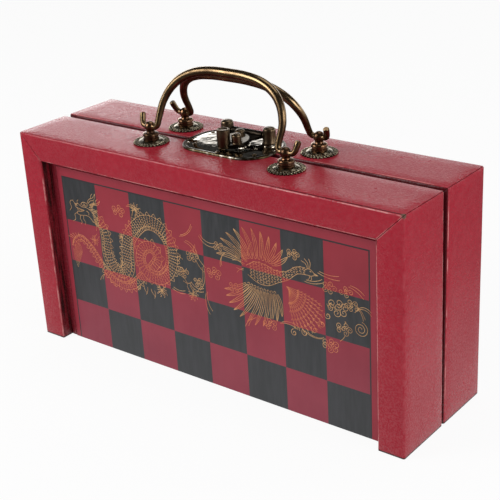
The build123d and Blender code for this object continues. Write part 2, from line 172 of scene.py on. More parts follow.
def wrapped_bar(low, high, along, mitres, long_edges):
    """One bar of the front half: cut along its length, rounded, mitred and given the wrap's slight waves."""
    piece = new_box(low, high)
    for vertex in piece.data.vertices:
        if vertex.co.y > low[1] / 2 * MM:
            vertex.co.y = -seam_at(vertex.co.z / MM) * MM
    for axis in (along, *(axis for axis in range(3) if axis != along)):
        count = max(2, round((high[axis] - low[axis]) / loop_spacing))
        normal = [1.0 if axis == n else 0.0 for n in range(3)]
        for i in range(1, count):
            point = [0.0, 0.0, 0.0]
            point[axis] = low[axis] + (high[axis] - low[axis]) * i / count
            cut(piece, point, normal, fill=False)
    for wanted, radius in long_edges:
        round_edges(piece, wanted, radius)
    for point, normal in mitres:
        cut(piece, point, normal)
        round_edges(piece, mitre_edges(point, normal), mitre_rounding, 2)
    add_modifier(
        piece, "DISPLACE", texture=leather_wave, texture_coords="LOCAL", strength=wave_height * MM,
        mid_level=0.5,
    )
    return smooth(piece, 50)


def line_edges(**places):
    """A test for edges that lie along one line: each place is a coordinate's value in millimetres."""
    wanted = [("xyz".index(name), value) for name, value in places.items()]
    return lambda a, b: all(abs(p[axis] - value) < 0.05 for p in (a, b) for axis, value in wanted)


def seam_edges(axis, value):
    """A test for edges on the seam face at one side of a bar."""
    index = "xyz".index(axis)
    return lambda a, b: all(
        abs(p[index] - value) < 0.05 and abs(p.y + seam_at(p.z)) < 0.05 for p in (a, b)
    )


inner_x = case_half_length - bar_width
inner_z = case_height - bar_width
both_ends = (("left", -1), ("right", 1))
bars = {}
bars["top_rail"] = wrapped_bar(
    (-case_half_length, -case_half_depth, inner_z),
    (case_half_length, -seam_top, case_height),
    0,
    [
        ((end * (case_half_length - mitre_half_gap), 0, case_height), (end, 0, -1))
        for end in (-1, 1)
    ],
    [
        (line_edges(y=-case_half_depth, z=case_height), outer_rounding),
        (line_edges(y=-case_half_depth, z=inner_z), inner_rounding),
        (seam_edges("z", case_height), outer_rounding),
        (seam_edges("z", inner_z), inner_rounding),
    ],
)
for side, end in both_ends:
    xs = sorted((end * case_half_length, end * inner_x))
    bars[f"{side}_stile"] = wrapped_bar(
        (xs[0], -case_half_depth, foot_lift),
        (xs[1], -seam_top, case_height),
        2,
        [((end * (case_half_length + mitre_half_gap), 0, case_height), (-end, 0, 1))],
        [
            (line_edges(y=-case_half_depth, x=end * case_half_length), outer_rounding),
            (line_edges(y=-case_half_depth, x=end * inner_x), inner_rounding),
            (seam_edges("x", end * case_half_length), outer_rounding),
            (seam_edges("x", end * inner_x), inner_rounding),
            (line_edges(z=foot_lift), inner_rounding / 2),
        ],
    )


def copy_of(piece):
    """A copy with its own mesh."""
    twin = piece.copy()
    twin.data = piece.data.copy()
    bpy.context.scene.collection.objects.link(twin)
    return twin


def new_material(name):
    """A new material, with its Principled shader and its object coordinates."""
    material = bpy.data.materials.new(name)
    material.use_nodes = True
    place = put(material.node_tree, "TexCoord").outputs["Object"]
    return material, material.node_tree.nodes["Principled BSDF"], place


def feed(socket, value):
    """Give an input a value, or join another node's output to it."""
    if isinstance(value, bpy.types.NodeSocket):
        socket.id_data.links.new(value, socket)
    else:
        socket.default_value = value


def set_node(node, **values):
    """Small-lettered names are a node's settings, and capital ones its inputs, with _ for a space."""
    for name, value in values.items():
        if name.islower():
            setattr(node, name, value)
        else:
            feed(node.inputs[name.replace("_", " ")], value)
    return node


def put(tree, kind, **values):
    """Add a shader node to a tree, its settings named before its inputs."""
    return set_node(tree.nodes.new(f"ShaderNode{kind}"), **values)


def maths(operation, a, b=0.0, c=0.0):
    """One step of arithmetic, in the node tree that its values come from."""
    tree = next(value.id_data for value in (a, b, c) if isinstance(value, bpy.types.NodeSocket))
    node = put(tree, "Math", operation=operation)
    for socket, value in zip(node.inputs, (a, b, c)):
        feed(socket, value)
    return node.outputs[0]


def chain(operation, *values):
    """The same step taken from each value to the next."""
    total = values[0]
    for value in values[1:]:
        total = maths(operation, total, value)
    return total


times = partial(chain, "MULTIPLY")
plus = partial(chain, "ADD")
minus = partial(chain, "SUBTRACT")
larger = partial(chain, "MAXIMUM")
smaller = partial(chain, "MINIMUM")
absolute = partial(maths, "ABSOLUTE")


def parts_of(place):
    return put(place.id_data, "SeparateXYZ", Vector=place).outputs


def stretched(place, *factors):
    """Coordinates multiplied along X, Y and Z."""
    node = put(place.id_data, "VectorMath", operation="MULTIPLY")
    feed(node.inputs[0], place)
    feed(node.inputs[1], factors)
    return node.outputs[0]


def distance_from(place, point):
    node = put(place.id_data, "VectorMath", operation="DISTANCE")
    feed(node.inputs[0], place)
    feed(node.inputs[1], point)
    return node.outputs["Value"]


def ramp(value, low, high, start=0.0, end=1.0):
    """A value carried smoothly from low..high to start..end."""
    return put(
        value.id_data, "MapRange", interpolation_type="SMOOTHSTEP", Value=value,
        From_Min=low, From_Max=high, To_Min=start, To_Max=end,
    ).outputs[0]


def ramp_mm(value, low, high):
    """The same for a distance, from 0 to 1, with low and high in millimetres."""
    return ramp(value, low * MM, high * MM)


def blend_colours(share, a, b):
    node = put(share.id_data, "Mix", data_type="RGBA")
    for index, value in ((0, share), (6, a), (7, b)):
        feed(node.inputs[index], value)
    return node.outputs[2]


def noise(place, scale, detail, roughness=0.5):
    return put(
        place.id_data, "TexNoise", Vector=place, Scale=scale, Detail=detail, Roughness=roughness
    ).outputs["Fac"]


def bumped(height, strength, distance):
    """The surface's direction, tilted by a height."""
    node = put(height.id_data, "Bump", Height=height, Strength=strength, Distance=distance)
    return node.outputs["Normal"]


def srgb(red, green, blue):
    """A colour as a screen shows it, 0 to 255, made linear."""
    def linear(c):
        c /= 255
        return c / 12.92 if c <= 0.04045 else ((c + 0.055) / 1.055) ** 2.4
    return (linear(red), linear(green), linear(blue), 1.0)


def new_group(name, inputs, outputs):
    """A shader node group with named sockets: (name, kind, value) in, (name, kind) out."""
    tree = bpy.data.node_groups.new(name, "ShaderNodeTree")
    for label, kind, value in inputs:
        socket = tree.interface.new_socket(name=label, in_out="INPUT", socket_type=f"NodeSocket{kind}")
        if value is not None:
            socket.default_value = value
    for label, kind in outputs:
        tree.interface.new_socket(name=label, in_out="OUTPUT", socket_type=f"NodeSocket{kind}")
    return tree, tree.nodes.new("NodeGroupInput").outputs, tree.nodes.new("NodeGroupOutput").inputs


def use_group(group, place, **inputs):
    return put(place.id_data, "Group", node_tree=group, Place=place, **inputs).outputs


grain_group, given, result = new_group(
    "pebble grain", [("Place", "Vector", None), ("Pebble", "Float", 0.9)], [("Height", "Float")]
)
per_metre = maths("DIVIDE", 1 / MM, given["Pebble"])
pebbles = put(
    grain_group, "TexVoronoi", feature="SMOOTH_F1", Vector=given["Place"], Scale=per_metre
)
fine = noise(given["Place"], times(per_metre, 1.9), 2.0)
feed(result["Height"], plus(times(pebbles.outputs["Distance"], -0.8), times(fine, 0.7)))

edge_group, given, result = new_group(
    "rubbed case edges", [("Place", "Vector", None), ("Width", "Float", 1.6)], [("Mask", "Float")]
)
parts = parts_of(given["Place"])
from_end = minus(case_half_length * MM, absolute(parts["X"]))
from_side = minus(case_half_depth * MM, absolute(parts["Y"]))
from_top = minus(case_height * MM, parts["Z"])
second = larger(smaller(from_end, from_side), smaller(larger(from_end, from_side), from_top))
closeness = minus(1.0, maths("DIVIDE", second, times(given["Width"], MM)))
broken = ramp(noise(given["Place"], 90.0, 4.0, 0.65), 0.42, 0.62)
feed(result["Mask"], times(ramp(closeness, 0.0, 0.7), broken))

# Painted shade darkens the faces inside the seam, the recess walls behind the front faces and a thin crease
# along the front top edge. Just outside those folds a thin pale line is painted, partly rubbed wear and
# partly painted highlight. The foot is dark, and one corner is worn through.

corner_wear = 0.006
corner_bare = 0.005
crease_starts = 0.0
crease_full = 0.09
foot_dark = (1.7, 0.8)
recess_dark = (0.5, 0.2)
recess_pale = (0.95, 0.6)
seam_dark = (0.7, 0.25)
seam_pale_from = (0.55, 0.9)
seam_pale_to = (1.7, 1.2)
mitre_pale = (1.1, 0.8)
front_crease = (0.9, 0.5)
top_pale = (0.8, 0.45)
near_edge = (0.9, 0.5)

fold_group, given, result = new_group(
    "folds of the wrap", [("Place", "Vector", None)],
    [("Seam", "Float"), ("Dark", "Float"), ("Pale", "Float"), ("Bare", "Float")],
)
parts = parts_of(given["Place"])
across = absolute(parts["X"])
depth = absolute(parts["Y"])
seam_place = maths("MULTIPLY_ADD", parts["Z"], (seam_top - seam_foot) / case_height, seam_foot * MM)
past_seam = minus(depth, seam_place)
past_recess = larger(minus(across, inner_x * MM), minus(parts["Z"], inner_z * MM))
below_top = minus(case_height * MM, parts["Z"])
from_front = plus(parts["Y"], case_half_depth * MM)
off_mitre = minus(case_half_length * MM, across, below_top)
on_face = ramp_mm(depth, case_half_depth - 0.9, case_half_depth - 0.5)
behind_face = ramp_mm(depth, case_half_depth - 0.9, case_half_depth - 1.4)
towards_right = ramp(parts["X"], crease_starts, crease_full, 0.3, 1.0)
streaks = noise(stretched(given["Place"], 1.0, 1.0, 0.08), 420.0, 3.0, 0.6)
chafe_and_highlight = ramp(noise(given["Place"], 70.0, 4.0, 0.6), 0.4, 0.6)


def line_at(value, middle, half):
    """1 along a thin line where a distance has one value, both in millimetres."""
    return ramp_mm(absolute(minus(value, middle * MM)), half, half / 2)


# Painted shade on the recess walls behind the front faces, broken by lighter streaks.
recess_painted_shade = times(ramp_mm(past_recess, *recess_dark), behind_face, ramp(streaks, 0.4, 0.62, 1.0, 0.45))
at_foot = ramp_mm(parts["Z"], *foot_dark)
# A thin painted shade line in the crease along the front top edge, stronger towards the right.
crease = times(
    line_at(from_front, *front_crease), ramp_mm(below_top, *near_edge), times(towards_right, 0.8)
)
# Thin pale lines just outside the folds: partly rubbed wear, partly painted highlight.
seam_line = times(ramp_mm(past_seam, *seam_pale_from), ramp_mm(past_seam, *seam_pale_to))
top_line = times(line_at(below_top, *top_pale), ramp_mm(from_front, *near_edge), towards_right)
recess_line = times(ramp_mm(past_recess, *recess_pale), on_face)
mitre_line = times(ramp_mm(absolute(off_mitre), *mitre_pale), on_face)
lines = larger(seam_line, top_line, recess_line, times(mitre_line, 0.6))
corner = (case_half_length * MM, -case_half_depth * MM, case_height * MM)
frayed = maths(
    "MULTIPLY_ADD", noise(given["Place"], 500.0, 4.0, 0.7), corner_wear,
    distance_from(given["Place"], corner),
)
# Seam: painted shade on the faces inside the seam, where the narrow slot is dark.
feed(result["Seam"], ramp_mm(past_seam, *seam_dark))
feed(result["Dark"], larger(recess_painted_shade, at_foot, crease))
feed(result["Pale"], times(lines, chafe_and_highlight))
feed(result["Bare"], ramp(frayed, corner_wear, corner_bare))


def leatherette(name, colour, deep, pale, edges=True):
    """Red leatherette: fine pebble grain, mottled dye, and paler rubbed edges; with edges, also painted shade
    in the seam, recess and crease, and thin pale lines that are partly painted highlight.
    """
    material, shader, place = new_material(name)
    cloudy = ramp(noise(place, 16.0, 4.0, 0.55), 0.34, 0.68)
    mottle = ramp(noise(place, 240.0, 3.0, 0.6), 0.35, 0.7)
    tint = blend_colours(times(cloudy, 0.35), colour, deep)
    tint = blend_colours(times(mottle, 0.08), tint, pale)
    if edges:
        folds = use_group(fold_group, place)
        # The Seam share and the recess and crease part of the Dark share are painted shade; the Pale share is
        # partly painted highlight.
        for share, shade in (
            (times(use_group(edge_group, place)["Mask"], 0.2), pale),
            (times(folds["Pale"], 0.55), srgb(226, 164, 160)),
            (folds["Seam"], srgb(86, 20, 26)),
            (folds["Dark"], srgb(46, 16, 16)),
            (folds["Bare"], srgb(104, 76, 64)),
        ):
            tint = blend_colours(share, tint, shade)
    height = use_group(grain_group, place, Pebble=1.15)["Height"]
    set_node(
        shader, Base_Color=tint, Roughness=ramp(cloudy, 0.0, 1.0, 0.24, 0.32),
        Specular_IOR_Level=ramp(noise(place, 780.0, 2.0, 0.5), 0.42, 0.6, 0.16, 0.46),
        Normal=bumped(height, 0.8, 0.00024),
    )
    return material


red_wrap = leatherette("red leatherette", srgb(162, 34, 50), srgb(142, 28, 42), srgb(196, 104, 110))


def settle(piece, name, slot, body, material, *nodes):
    """Name a finished piece, dress it, and hand it to its body and to the nodes it stands for."""
    pick(piece)
    apply_place()
    piece.name = name
    piece.data.name = name
    piece.data.materials.clear()
    piece.data.materials.append(material)
    if nodes:
        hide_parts(*nodes)
    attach(piece, body)


def stand_in(piece, node, slot, body, material):
    """Settle a piece that stands for one node."""
    settle(piece, f"dressed_{node}", slot, body, material, node)


def settle_pair(piece, name, slot, material):
    """A front piece and its mirror twin, each on its own half, each for the node of the same name."""
    twin = copy_of(piece)
    twin.data.transform(Matrix.Scale(-1, 4, (0, 1, 0)))
    twin.data.flip_normals()
    stand_in(piece, f"front_{name}", slot, "front_half", material)
    stand_in(twin, f"rear_{name}", slot, "rear_half", material)


for name, piece in bars.items():
    settle_pair(piece, name, "red_leatherette", red_wrap)


def dress(node, material):
    """Give a CAD node that stays its own material."""
    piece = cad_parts[node]
    if not piece.material_slots:
        piece.data.materials.append(material)
    for entry in piece.material_slots:
        entry.material = material


# Panel beads
# Three narrow strips wrapped in the same leatherette lie round the board, a little below its face, and
# leave a dark line between themselves and the board.

bead_face = 37.3
bead_back = 36.1
bead_outer_x = 136.3
bead_outer_z = 138.3
bead_width = 4.2
top_bead_extra = 0.6
bead_rounding = 0.5
bead_end_gap = 0.1


def joined(pieces):
    """Several meshes made one."""
    pick(pieces[0])
    for piece in pieces:
        piece.select_set(True)
    bpy.ops.object.join()
    return bpy.context.object


bead_inner_x = bead_outer_x - bead_width
strips = []
for low, high in (
    ((-bead_outer_x, -bead_face, 0), (-bead_inner_x, -bead_back, bead_outer_z)),
    ((bead_inner_x, -bead_face, 0), (bead_outer_x, -bead_back, bead_outer_z)),
    (
        (-bead_inner_x + bead_end_gap, -bead_face, bead_outer_z - bead_width - top_bead_extra),
        (bead_inner_x - bead_end_gap, -bead_back, bead_outer_z),
    ),
):
    strip = new_box(low, high)
    add_modifier(strip, "BEVEL", width=bead_rounding * MM, segments=3)
    strips.append(strip)
bead_wrap = leatherette(
    "bead leatherette", srgb(148, 36, 50), srgb(126, 28, 42), srgb(190, 104, 108), edges=False
)
settle_pair(smooth(joined(strips)), "panel_beads", "red_leatherette", bead_wrap)

# Printed board
# A thin sheet of board printed with squares in dark grey and red and a dark line round them, with a
# satin varnish over it. The squares run down to the foot, where the two halves meet when it lies open.

square = 31.5
board_face = 37.6
line_inner = 126.0
line_outer = 127.0
columns_left = 4.0
even_count = 20.0

square_group, given, result = new_group(
    "square colour", [("Place", "Vector", None), ("Turned", "Float", 0.0)], [("Dark", "Float")]
)
parts = parts_of(given["Place"])
column = maths("FLOOR", maths("MULTIPLY_ADD", parts["X"], 1 / (square * MM), columns_left))
row = maths("FLOOR", times(parts["Z"], 1 / (square * MM)))
feed(result["Dark"], maths("MODULO", plus(column, row, given["Turned"], even_count), 2.0))


def printed(name, turned):
    """The print on one half; turned is 1 on the rear half, where the pattern is turned round."""
    material, shader, place = new_material(name)
    dark = use_group(square_group, place, Turned=turned)["Dark"]
    parts = parts_of(place)
    reach = larger(absolute(parts["X"]), parts["Z"])
    inside = maths("LESS_THAN", reach, line_inner * MM)
    in_line = minus(maths("LESS_THAN", reach, line_outer * MM), inside)
    streaks = ramp(noise(stretched(place, 1.0, 1.0, 0.12), 330.0, 3.0, 0.6), 0.3, 0.75)
    cloudy = ramp(noise(place, 26.0, 4.0, 0.55), 0.3, 0.7)
    black = blend_colours(streaks, srgb(50, 52, 54), srgb(63, 64, 67))
    # The red squares are painted paler and more purple towards the foot: a painted light gradient.
    red_low_painted_light = blend_colours(cloudy, srgb(138, 48, 66), srgb(148, 56, 72))
    red_high = blend_colours(cloudy, srgb(146, 38, 52), srgb(156, 44, 58))
    red = blend_colours(ramp(parts["Z"], 0.0, 0.13), red_low_painted_light, red_high)
    margin = blend_colours(cloudy, srgb(152, 38, 54), srgb(160, 46, 62))
    tint = blend_colours(inside, margin, blend_colours(dark, red, black))
    tint = blend_colours(in_line, tint, srgb(52, 48, 52))
    height = use_group(grain_group, place, Pebble=0.6)["Height"]
    set_node(
        shader, Base_Color=tint, Roughness=ramp(streaks, 0.0, 1.0, 0.44, 0.52), Specular_IOR_Level=0.45,
        Normal=bumped(height, 0.25, 0.00006),
    )
    return material


dress("front_printed_board", printed("printed squares", 0.0))
dress("rear_printed_board", printed("printed squares, turned", 1.0))

# Gold line print
# A dragon on the left and a phoenix on the right among clouds, in thin gold lines screen-printed over
# the squares. They are the traditional pair, drawn here for this board. Places are in millimetres on the
# board's face, across and up, and every line is a thin raised thread of ink.

ink_half_width = 0.2
ink_rise = 0.06
strokes = []
covers = []
flick_step = 0.8


def curve_through(points, step):
    """A smooth line through the points, sampled at about one step."""
    ends = [points[0]] + list(points) + [points[-1]]
    line = []
    for p0, p1, p2, p3 in zip(ends, ends[1:], ends[2:], ends[3:]):
        count = max(1, round(hypot(p2[0] - p1[0], p2[1] - p1[1]) / step))
        for t in (i / count for i in range(count)):
            line.append(tuple(
                0.5 * (
                    2 * b + (c - a) * t + (2 * a - 5 * b + 4 * c - d) * t * t + (3 * b - a - 3 * c + d) * t**3
                )
                for a, b, c, d in zip(p0, p1, p2, p3)
            ))
    line.append(tuple(points[-1]))
    return line


def hidden(point, before=None):
    """True where a form drawn earlier lies over the point."""
    for x, y, radius in covers[:before]:
        if (point[0] - x) ** 2 + (point[1] - y) ** 2 < radius * radius:
            return True
    return False


def keep(points, covered):
    """Draw the stretches of a line at whose points the test finds nothing in front."""
    run = []
    for i, point in enumerate(points):
        if not covered(i, point):
            run.append(point)
            continue
        if len(run) > 1:
            strokes.append(run)
        run = []
    if len(run) > 1:
        strokes.append(run)


def draw(points, over=False):
    """Draw a line where no earlier form hides it, or, with over, all of it."""
    keep(points, lambda i, point: not over and hidden(point))


def from_place(x, y, heading, reach):
    """The place at a distance from another, towards a heading in degrees."""
    return (x + reach * cos(radians(heading)), y + reach * sin(radians(heading)))


def flick(x, y, heading, length, bend, over=False):
    """A short line that starts at a place and heading, in degrees, and bends as it goes."""
    line = [(x, y)]
    count = max(3, round(length / flick_step))
    for i in range(count):
        line.append(from_place(*line[-1], heading + bend * i / count, length / count))
    draw(line, over)


def spiral(x, y, radius, turns, start, hand=1):
    """A curl that winds in from its rim."""
    count = round(20 * turns)
    line = []
    for share in (i / count for i in range(count + 1)):
        size = radius * (1 - 0.85 * share)
        angle = radians(start) + hand * 2 * pi * turns * share
        line.append((x + size * cos(angle), y + size * sin(angle)))
    draw(line)


def cloud(x, y, size, curls, tilt):
    """A bank of curls round a larger one."""
    for i in range(curls):
        angle = tilt + 360 * i / curls
        cx = x + 0.9 * size * cos(radians(angle))
        cy = y + 0.6 * size * sin(radians(angle))
        spiral(cx, cy, 0.5 * size, 1.4, angle + 150, 1 if i % 2 else -1)
    spiral(x, y, 0.45 * size, 1.2, tilt)
    covers.append((x, y, 0.8 * size))


def claw(x, y, heading, size):
    """A leg with four hooked toes and a tuft at the wrist."""
    knee = from_place(x, y, heading, -7 * size)
    for side in (-1, 1):
        flick(*from_place(*knee, heading + 90, side * 1.6 * size), heading, 6 * size, 10 * side)
    for spread in (-58, -20, 18, 55):
        angle = heading + spread
        for shift in (-0.5, 0.5):
            toe = from_place(x, y, angle + 90, shift * size)
            flick(*toe, angle, 4.2 * size, 40 * (1 if spread > 0 else -1) + 30 * shift)
        flick(*from_place(x, y, angle + 12, 4.0 * size), angle + 20, 2.0 * size, -120)
    for tuft in (120, 150, 205, 235):
        flick(x, y, heading + tuft, 4.5 * size, 50 if tuft > 180 else -50)


def place_all(lines, x, y):
    """Draw a list of lines given round their own origin."""
    for line in lines:
        draw([(x + a, y + b) for a, b in curve_through(line, 1.2)], over=True)


dragon_head = [
    [
        (7, -4), (3, -0.5), (-2, 1.2), (-6, 0.9), (-9, 2.6), (-11.6, 2.0), (-11.8, -0.2), (-8, -1.0),
        (-3.5, -1.4),
    ],
    [(-3.5, -1.4), (-6.5, -2.8), (-9.8, -3.2), (-11, -4.8), (-8, -5.8), (-3, -5.0), (1, -5.6), (4.5, -9)],
    [(-10.4, -0.8), (-9.7, -2.4), (-9.0, -1.0), (-8.0, -2.4), (-7.2, -1.2), (-6.2, -2.2), (-5.2, -1.4)],
    [(-6.5, 2.6), (-4.2, 4.6), (-1, 4.4), (0.6, 2.8), (-2, 2.2), (-4.6, 2.2), (-6.5, 2.6)],
    [(-3.6, 3.2), (-3.0, 3.7), (-2.4, 3.2), (-3.0, 2.7), (-3.6, 3.2)],
    [(-11.2, 1.4), (-10.6, 1.9), (-10.0, 1.3), (-10.6, 0.9), (-11.2, 1.4)],
    [(0, 4.6), (2.4, 8), (6.0, 9.6), (8.6, 13.0)],
    [(0.8, 4.2), (3.6, 7.0), (7.2, 8.4), (8.6, 13.0)],
    [(4.4, 8.8), (4.6, 11.0), (6.0, 12.6)],
    [(2, 3.6), (5.8, 5.6), (9.6, 6.0), (13, 8.6)],
    [(2.4, 2.8), (6.4, 4.6), (10.4, 5.0), (13, 8.6)],
    [(8.2, 6.0), (9.0, 8.2), (11.0, 9.4)],
    [(1.6, 1.6), (4.6, 2.8), (4.2, 0.6), (1.8, 0.4)],
    [(-11.6, 1.0), (-14.4, 4.2), (-17.2, 2.4), (-16.2, -1.4), (-18.4, -4.2)],
    [(-10.6, -4.4), (-13.6, -6.2), (-13.2, -9.6), (-16.0, -11.8)],
    [(-7.6, -5.8), (-8.6, -8.6), (-7.0, -10.6), (-8.2, -12.6)],
    [(-4.6, -5.4), (-5.2, -8.2), (-3.4, -10.2), (-4.4, -12.4)],
    [(-9.6, 2.6), (-9.8, 4.4), (-8.4, 5.6)],
    [(-1.5, -1.6), (0.8, -2.4), (0.4, -4.2)],
]
head_x = -104.0
head_y = 106.0
place_all(dragon_head, head_x, head_y)
for i in range(8):
    x = head_x + 0.45 * i
    y = head_y - 1.7 * i
    flick(x + 2.5, y + 3.2, 38 - 14 * i, 8.0 - 0.3 * i, 70 if i % 2 else -60, over=True)
    flick(x + 3.4, y + 2.4, 30 - 14 * i, 5.5, -60 if i % 2 else 60, over=True)
covers.append((head_x - 5, head_y, 6.0))
covers.append((head_x + 1, head_y - 1, 6.0))

dragon_spine = curve_through(
    [
        (-98, 101), (-92, 97), (-89, 88), (-89, 76), (-84, 66), (-76, 63), (-70, 69), (-69, 80), (-67, 90),
        (-61, 99), (-51, 107), (-40, 107), (-31, 100), (-28, 89), (-31, 77), (-40, 69), (-51, 70), (-57, 78),
        (-54, 87), (-46, 90), (-41, 84), (-46, 76), (-57, 66), (-70, 56), (-84, 57), (-95, 66), (-104, 77),
        (-113, 83), (-120, 80), (-123, 74),
    ],
    1.0,
)


def body_width(share):
    """Half the dragon's width, from the neck to the tail."""
    return 1.3 + 4.6 * min(1.0, 0.45 + 3 * share) * (1 - share**3) * (1 - 0.35 * share)


def across_body(i):
    """The dragon's sideways direction at one sample of its spine."""
    x0, y0 = dragon_spine[max(0, i - 1)]
    x1, y1 = dragon_spine[min(len(dragon_spine) - 1, i + 1)]
    length = hypot(x1 - x0, y1 - y0)
    return (-(y1 - y0) / length, (x1 - x0) / length)


def body_point(i, side):
    """A point beside the spine: side runs from -1 at the belly to 1 at the back."""
    share = i / len(dragon_spine)
    nx, ny = across_body(i)
    width = body_width(share) * side
    return (dragon_spine[i][0] + nx * width, dragon_spine[i][1] + ny * width)


head_covers = len(covers)
spine_covers = [(x, y, body_width(i / len(dragon_spine))) for i, (x, y) in enumerate(dragon_spine)]
covers.extend(spine_covers[1:])
self_reach = 16


def looped_over(point, i, slack=1.0):
    """True where the head or a nearer loop of the dragon lies over a point at one sample of its spine."""
    return hidden(point, head_covers) or any(
        (point[0] - x) ** 2 + (point[1] - y) ** 2 < (radius * slack) ** 2
        for x, y, radius in spine_covers[: max(0, i - self_reach)]
    )


for side in (-1.0, 1.0, -0.5):
    outline = [body_point(i, side) for i in range(len(dragon_spine))]
    keep(outline, lambda i, point: looped_over(point, i, 0.98))


def over_body(points, i):
    """Draw a line on the dragon at one sample unless a nearer loop covers it."""
    if not looped_over(points[len(points) // 2], i):
        strokes.append(points)


scale_pitch = 2
for i in range(2, len(dragon_spine) - 3, scale_pitch):
    share = i / len(dragon_spine)
    width = body_width(share)
    count = max(1, round(1.5 * width / 2.0))
    stagger = 0.5 if (i // scale_pitch) % 2 else 0.0
    nx, ny = across_body(i)
    x0, y0 = dragon_spine[i]
    for k in range(count):
        side = -0.5 + 1.5 * (k + stagger) / count
        if side > 0.86:
            continue
        half = 0.72 * width / count
        cx = x0 + nx * width * side
        cy = y0 + ny * width * side
        arc = []
        for turn in (-80, -40, 0, 40, 80):
            out = 1.25 * cos(radians(turn))
            over = half * sin(radians(turn))
            arc.append((cx + ny * out + nx * over, cy - nx * out + ny * over))
        over_body(arc, i)
    over_body([body_point(i, -1.0), body_point(i, -0.5)], i)
for i in range(4, len(dragon_spine) - 8, 4):
    nx, ny = across_body(i)
    x0, y0 = body_point(i, 1.0)
    x1, y1 = body_point(min(i + 3, len(dragon_spine) - 1), 1.0)
    tip = (x0 + nx * 2.4 + ny * 2.0, y0 + ny * 2.4 - nx * 2.0)
    if not hidden(tip):
        middle = ((x0 + tip[0]) / 2 + nx * 0.5, (y0 + tip[1]) / 2 + ny * 0.5)
        strokes.append([(x0, y0), middle, tip, (x1, y1)])
for i in range(9):
    flick(-123 + 0.8 * i, 75 + 0.35 * i, 262 + 5 * i, 17 - 1.2 * i, 34 - 9 * i)
for i in range(5):
    flick(-121 + 1.2 * i, 80, 150 - 18 * i, 6.0, 40)

for x, y, heading, size in (
    (-58, 115, 70, 0.9), (-40, 60, 268, 1.0), (-100, 84, 230, 0.8), (-12, 64, 300, 0.9), (-73, 92, 150, 0.55),
):
    claw(x, y, heading, size)
for i in range(7):
    flick(-66 + 3.2 * i, 61 - 0.5 * i, 250 + 6 * i, 6.5, 60 if i % 2 else -50)
for i in range(6):
    flick(-26 + 1.3 * i, 88 - 3.2 * i, 30 - 12 * i, 8.0, 80 if i % 2 else -70)

for x, y, size, curls, tilt in (
    (-74, 111, 4.6, 5, 10), (-84, 56, 4.0, 5, 40), (-10, 92, 4.4, 5, 80), (-19, 78, 4.0, 4, 20),
    (-6, 74, 3.6, 4, 60), (8, 84, 4.8, 5, 15), (72, 112, 3.8, 5, 0), (52, 59, 4.4, 5, 30),
    (24, 78, 3.6, 4, 50), (104, 84, 6.0, 6, 20), (98, 96, 4.2, 5, 70), (110, 96, 3.8, 4, 10),
    (114, 88, 4.0, 5, 45), (108, 71, 4.6, 5, 0), (98, 57, 5.0, 6, 25), (13, 104, 3.4, 4, 35),
):
    cloud(x, y, size, curls, tilt)
spiral(120, 74, 5.2, 2.2, 80, -1)
spiral(99, 57, 3.2, 1.8, 200, 1)
for x, y, heading, length, bend in (
    (-20, 104, 10, 16, 60), (-16, 101, 350, 14, -70), (-3, 108, 300, 15, 80), (-8, 100, 260, 20, 70),
    (-2, 86, 280, 22, -60), (-14, 72, 300, 14, 90), (0, 68, 250, 16, 60), (116, 84, 60, 14, -120),
    (122, 80, 100, 13, 60), (105, 62, 40, 16, 70), (92, 60, 200, 14, -60), (60, 62, 20, 14, -50),
    (40, 60, 200, 12, 50), (14, 90, 100, 12, -70), (80, 96, 350, 14, 40), (90, 104, 340, 16, 30),
    (112, 100, 350, 12, -40), (-30, 64, 330, 12, 50), (-92, 60, 200, 10, 50), (-66, 116, 10, 12, -60),
):
    flick(x, y, heading, length, bend)
    flick(x + 1.2, y + 1.1, heading + 6, length * 0.9, bend)

phoenix_head = [
    [(0, 0), (2.6, 1.8), (5.4, 1.6), (7.2, -0.2), (10.2, -1.2), (7.4, -1.6), (5.0, -2.6), (2.2, -2.4)],
    [(7.0, -0.6), (8.6, -0.9), (10.2, -1.2)],
    [(4.2, 0.5), (4.8, 0.9), (5.4, 0.5), (4.8, 0.1), (4.2, 0.5)],
    [(2.6, 1.8), (1.2, 4.8), (-2.0, 6.2)],
    [(3.2, 2.0), (2.8, 5.6), (0.4, 8.0)],
    [(4.0, 2.0), (4.8, 5.6), (3.6, 8.6)],
    [(5.0, -2.6), (5.4, -4.8), (4.2, -6.0)],
    [(4.0, -2.6), (3.6, -4.6), (2.4, -5.4)],
]
place_all(phoenix_head, 80, 103)
covers.append((84, 103, 3.6))
neck_up = curve_through([(81, 105), (74, 104), (66, 99), (58, 98), (50, 100), (42, 100), (35, 96)], 1.2)
neck_low = curve_through([(82, 100.5), (75, 99.5), (68, 94), (60, 90), (52, 86), (44, 86), (36, 90)], 1.2)
draw(neck_up, over=True)
draw(neck_low, over=True)
for i in range(2, min(len(neck_up), len(neck_low)) - 2, 2):
    a = neck_up[i]
    b = neck_low[i]
    lanes = max(2, round(hypot(a[0] - b[0], a[1] - b[1]) / 2.2))
    for k in range(lanes):
        share = (k + (0.5 if i % 4 else 0.1)) / lanes
        x = a[0] + (b[0] - a[0]) * share
        y = a[1] + (b[1] - a[1]) * share
        barb = [(0.9, 0.8), (-0.3, 0.4), (-0.6, 0), (-0.3, -0.5), (0.9, -0.8)]
        draw([(x + right, y + up) for right, up in barb], over=True)
    covers.append(((a[0] + b[0]) / 2, (a[1] + b[1]) / 2, hypot(a[0] - b[0], a[1] - b[1]) / 2 + 0.6))


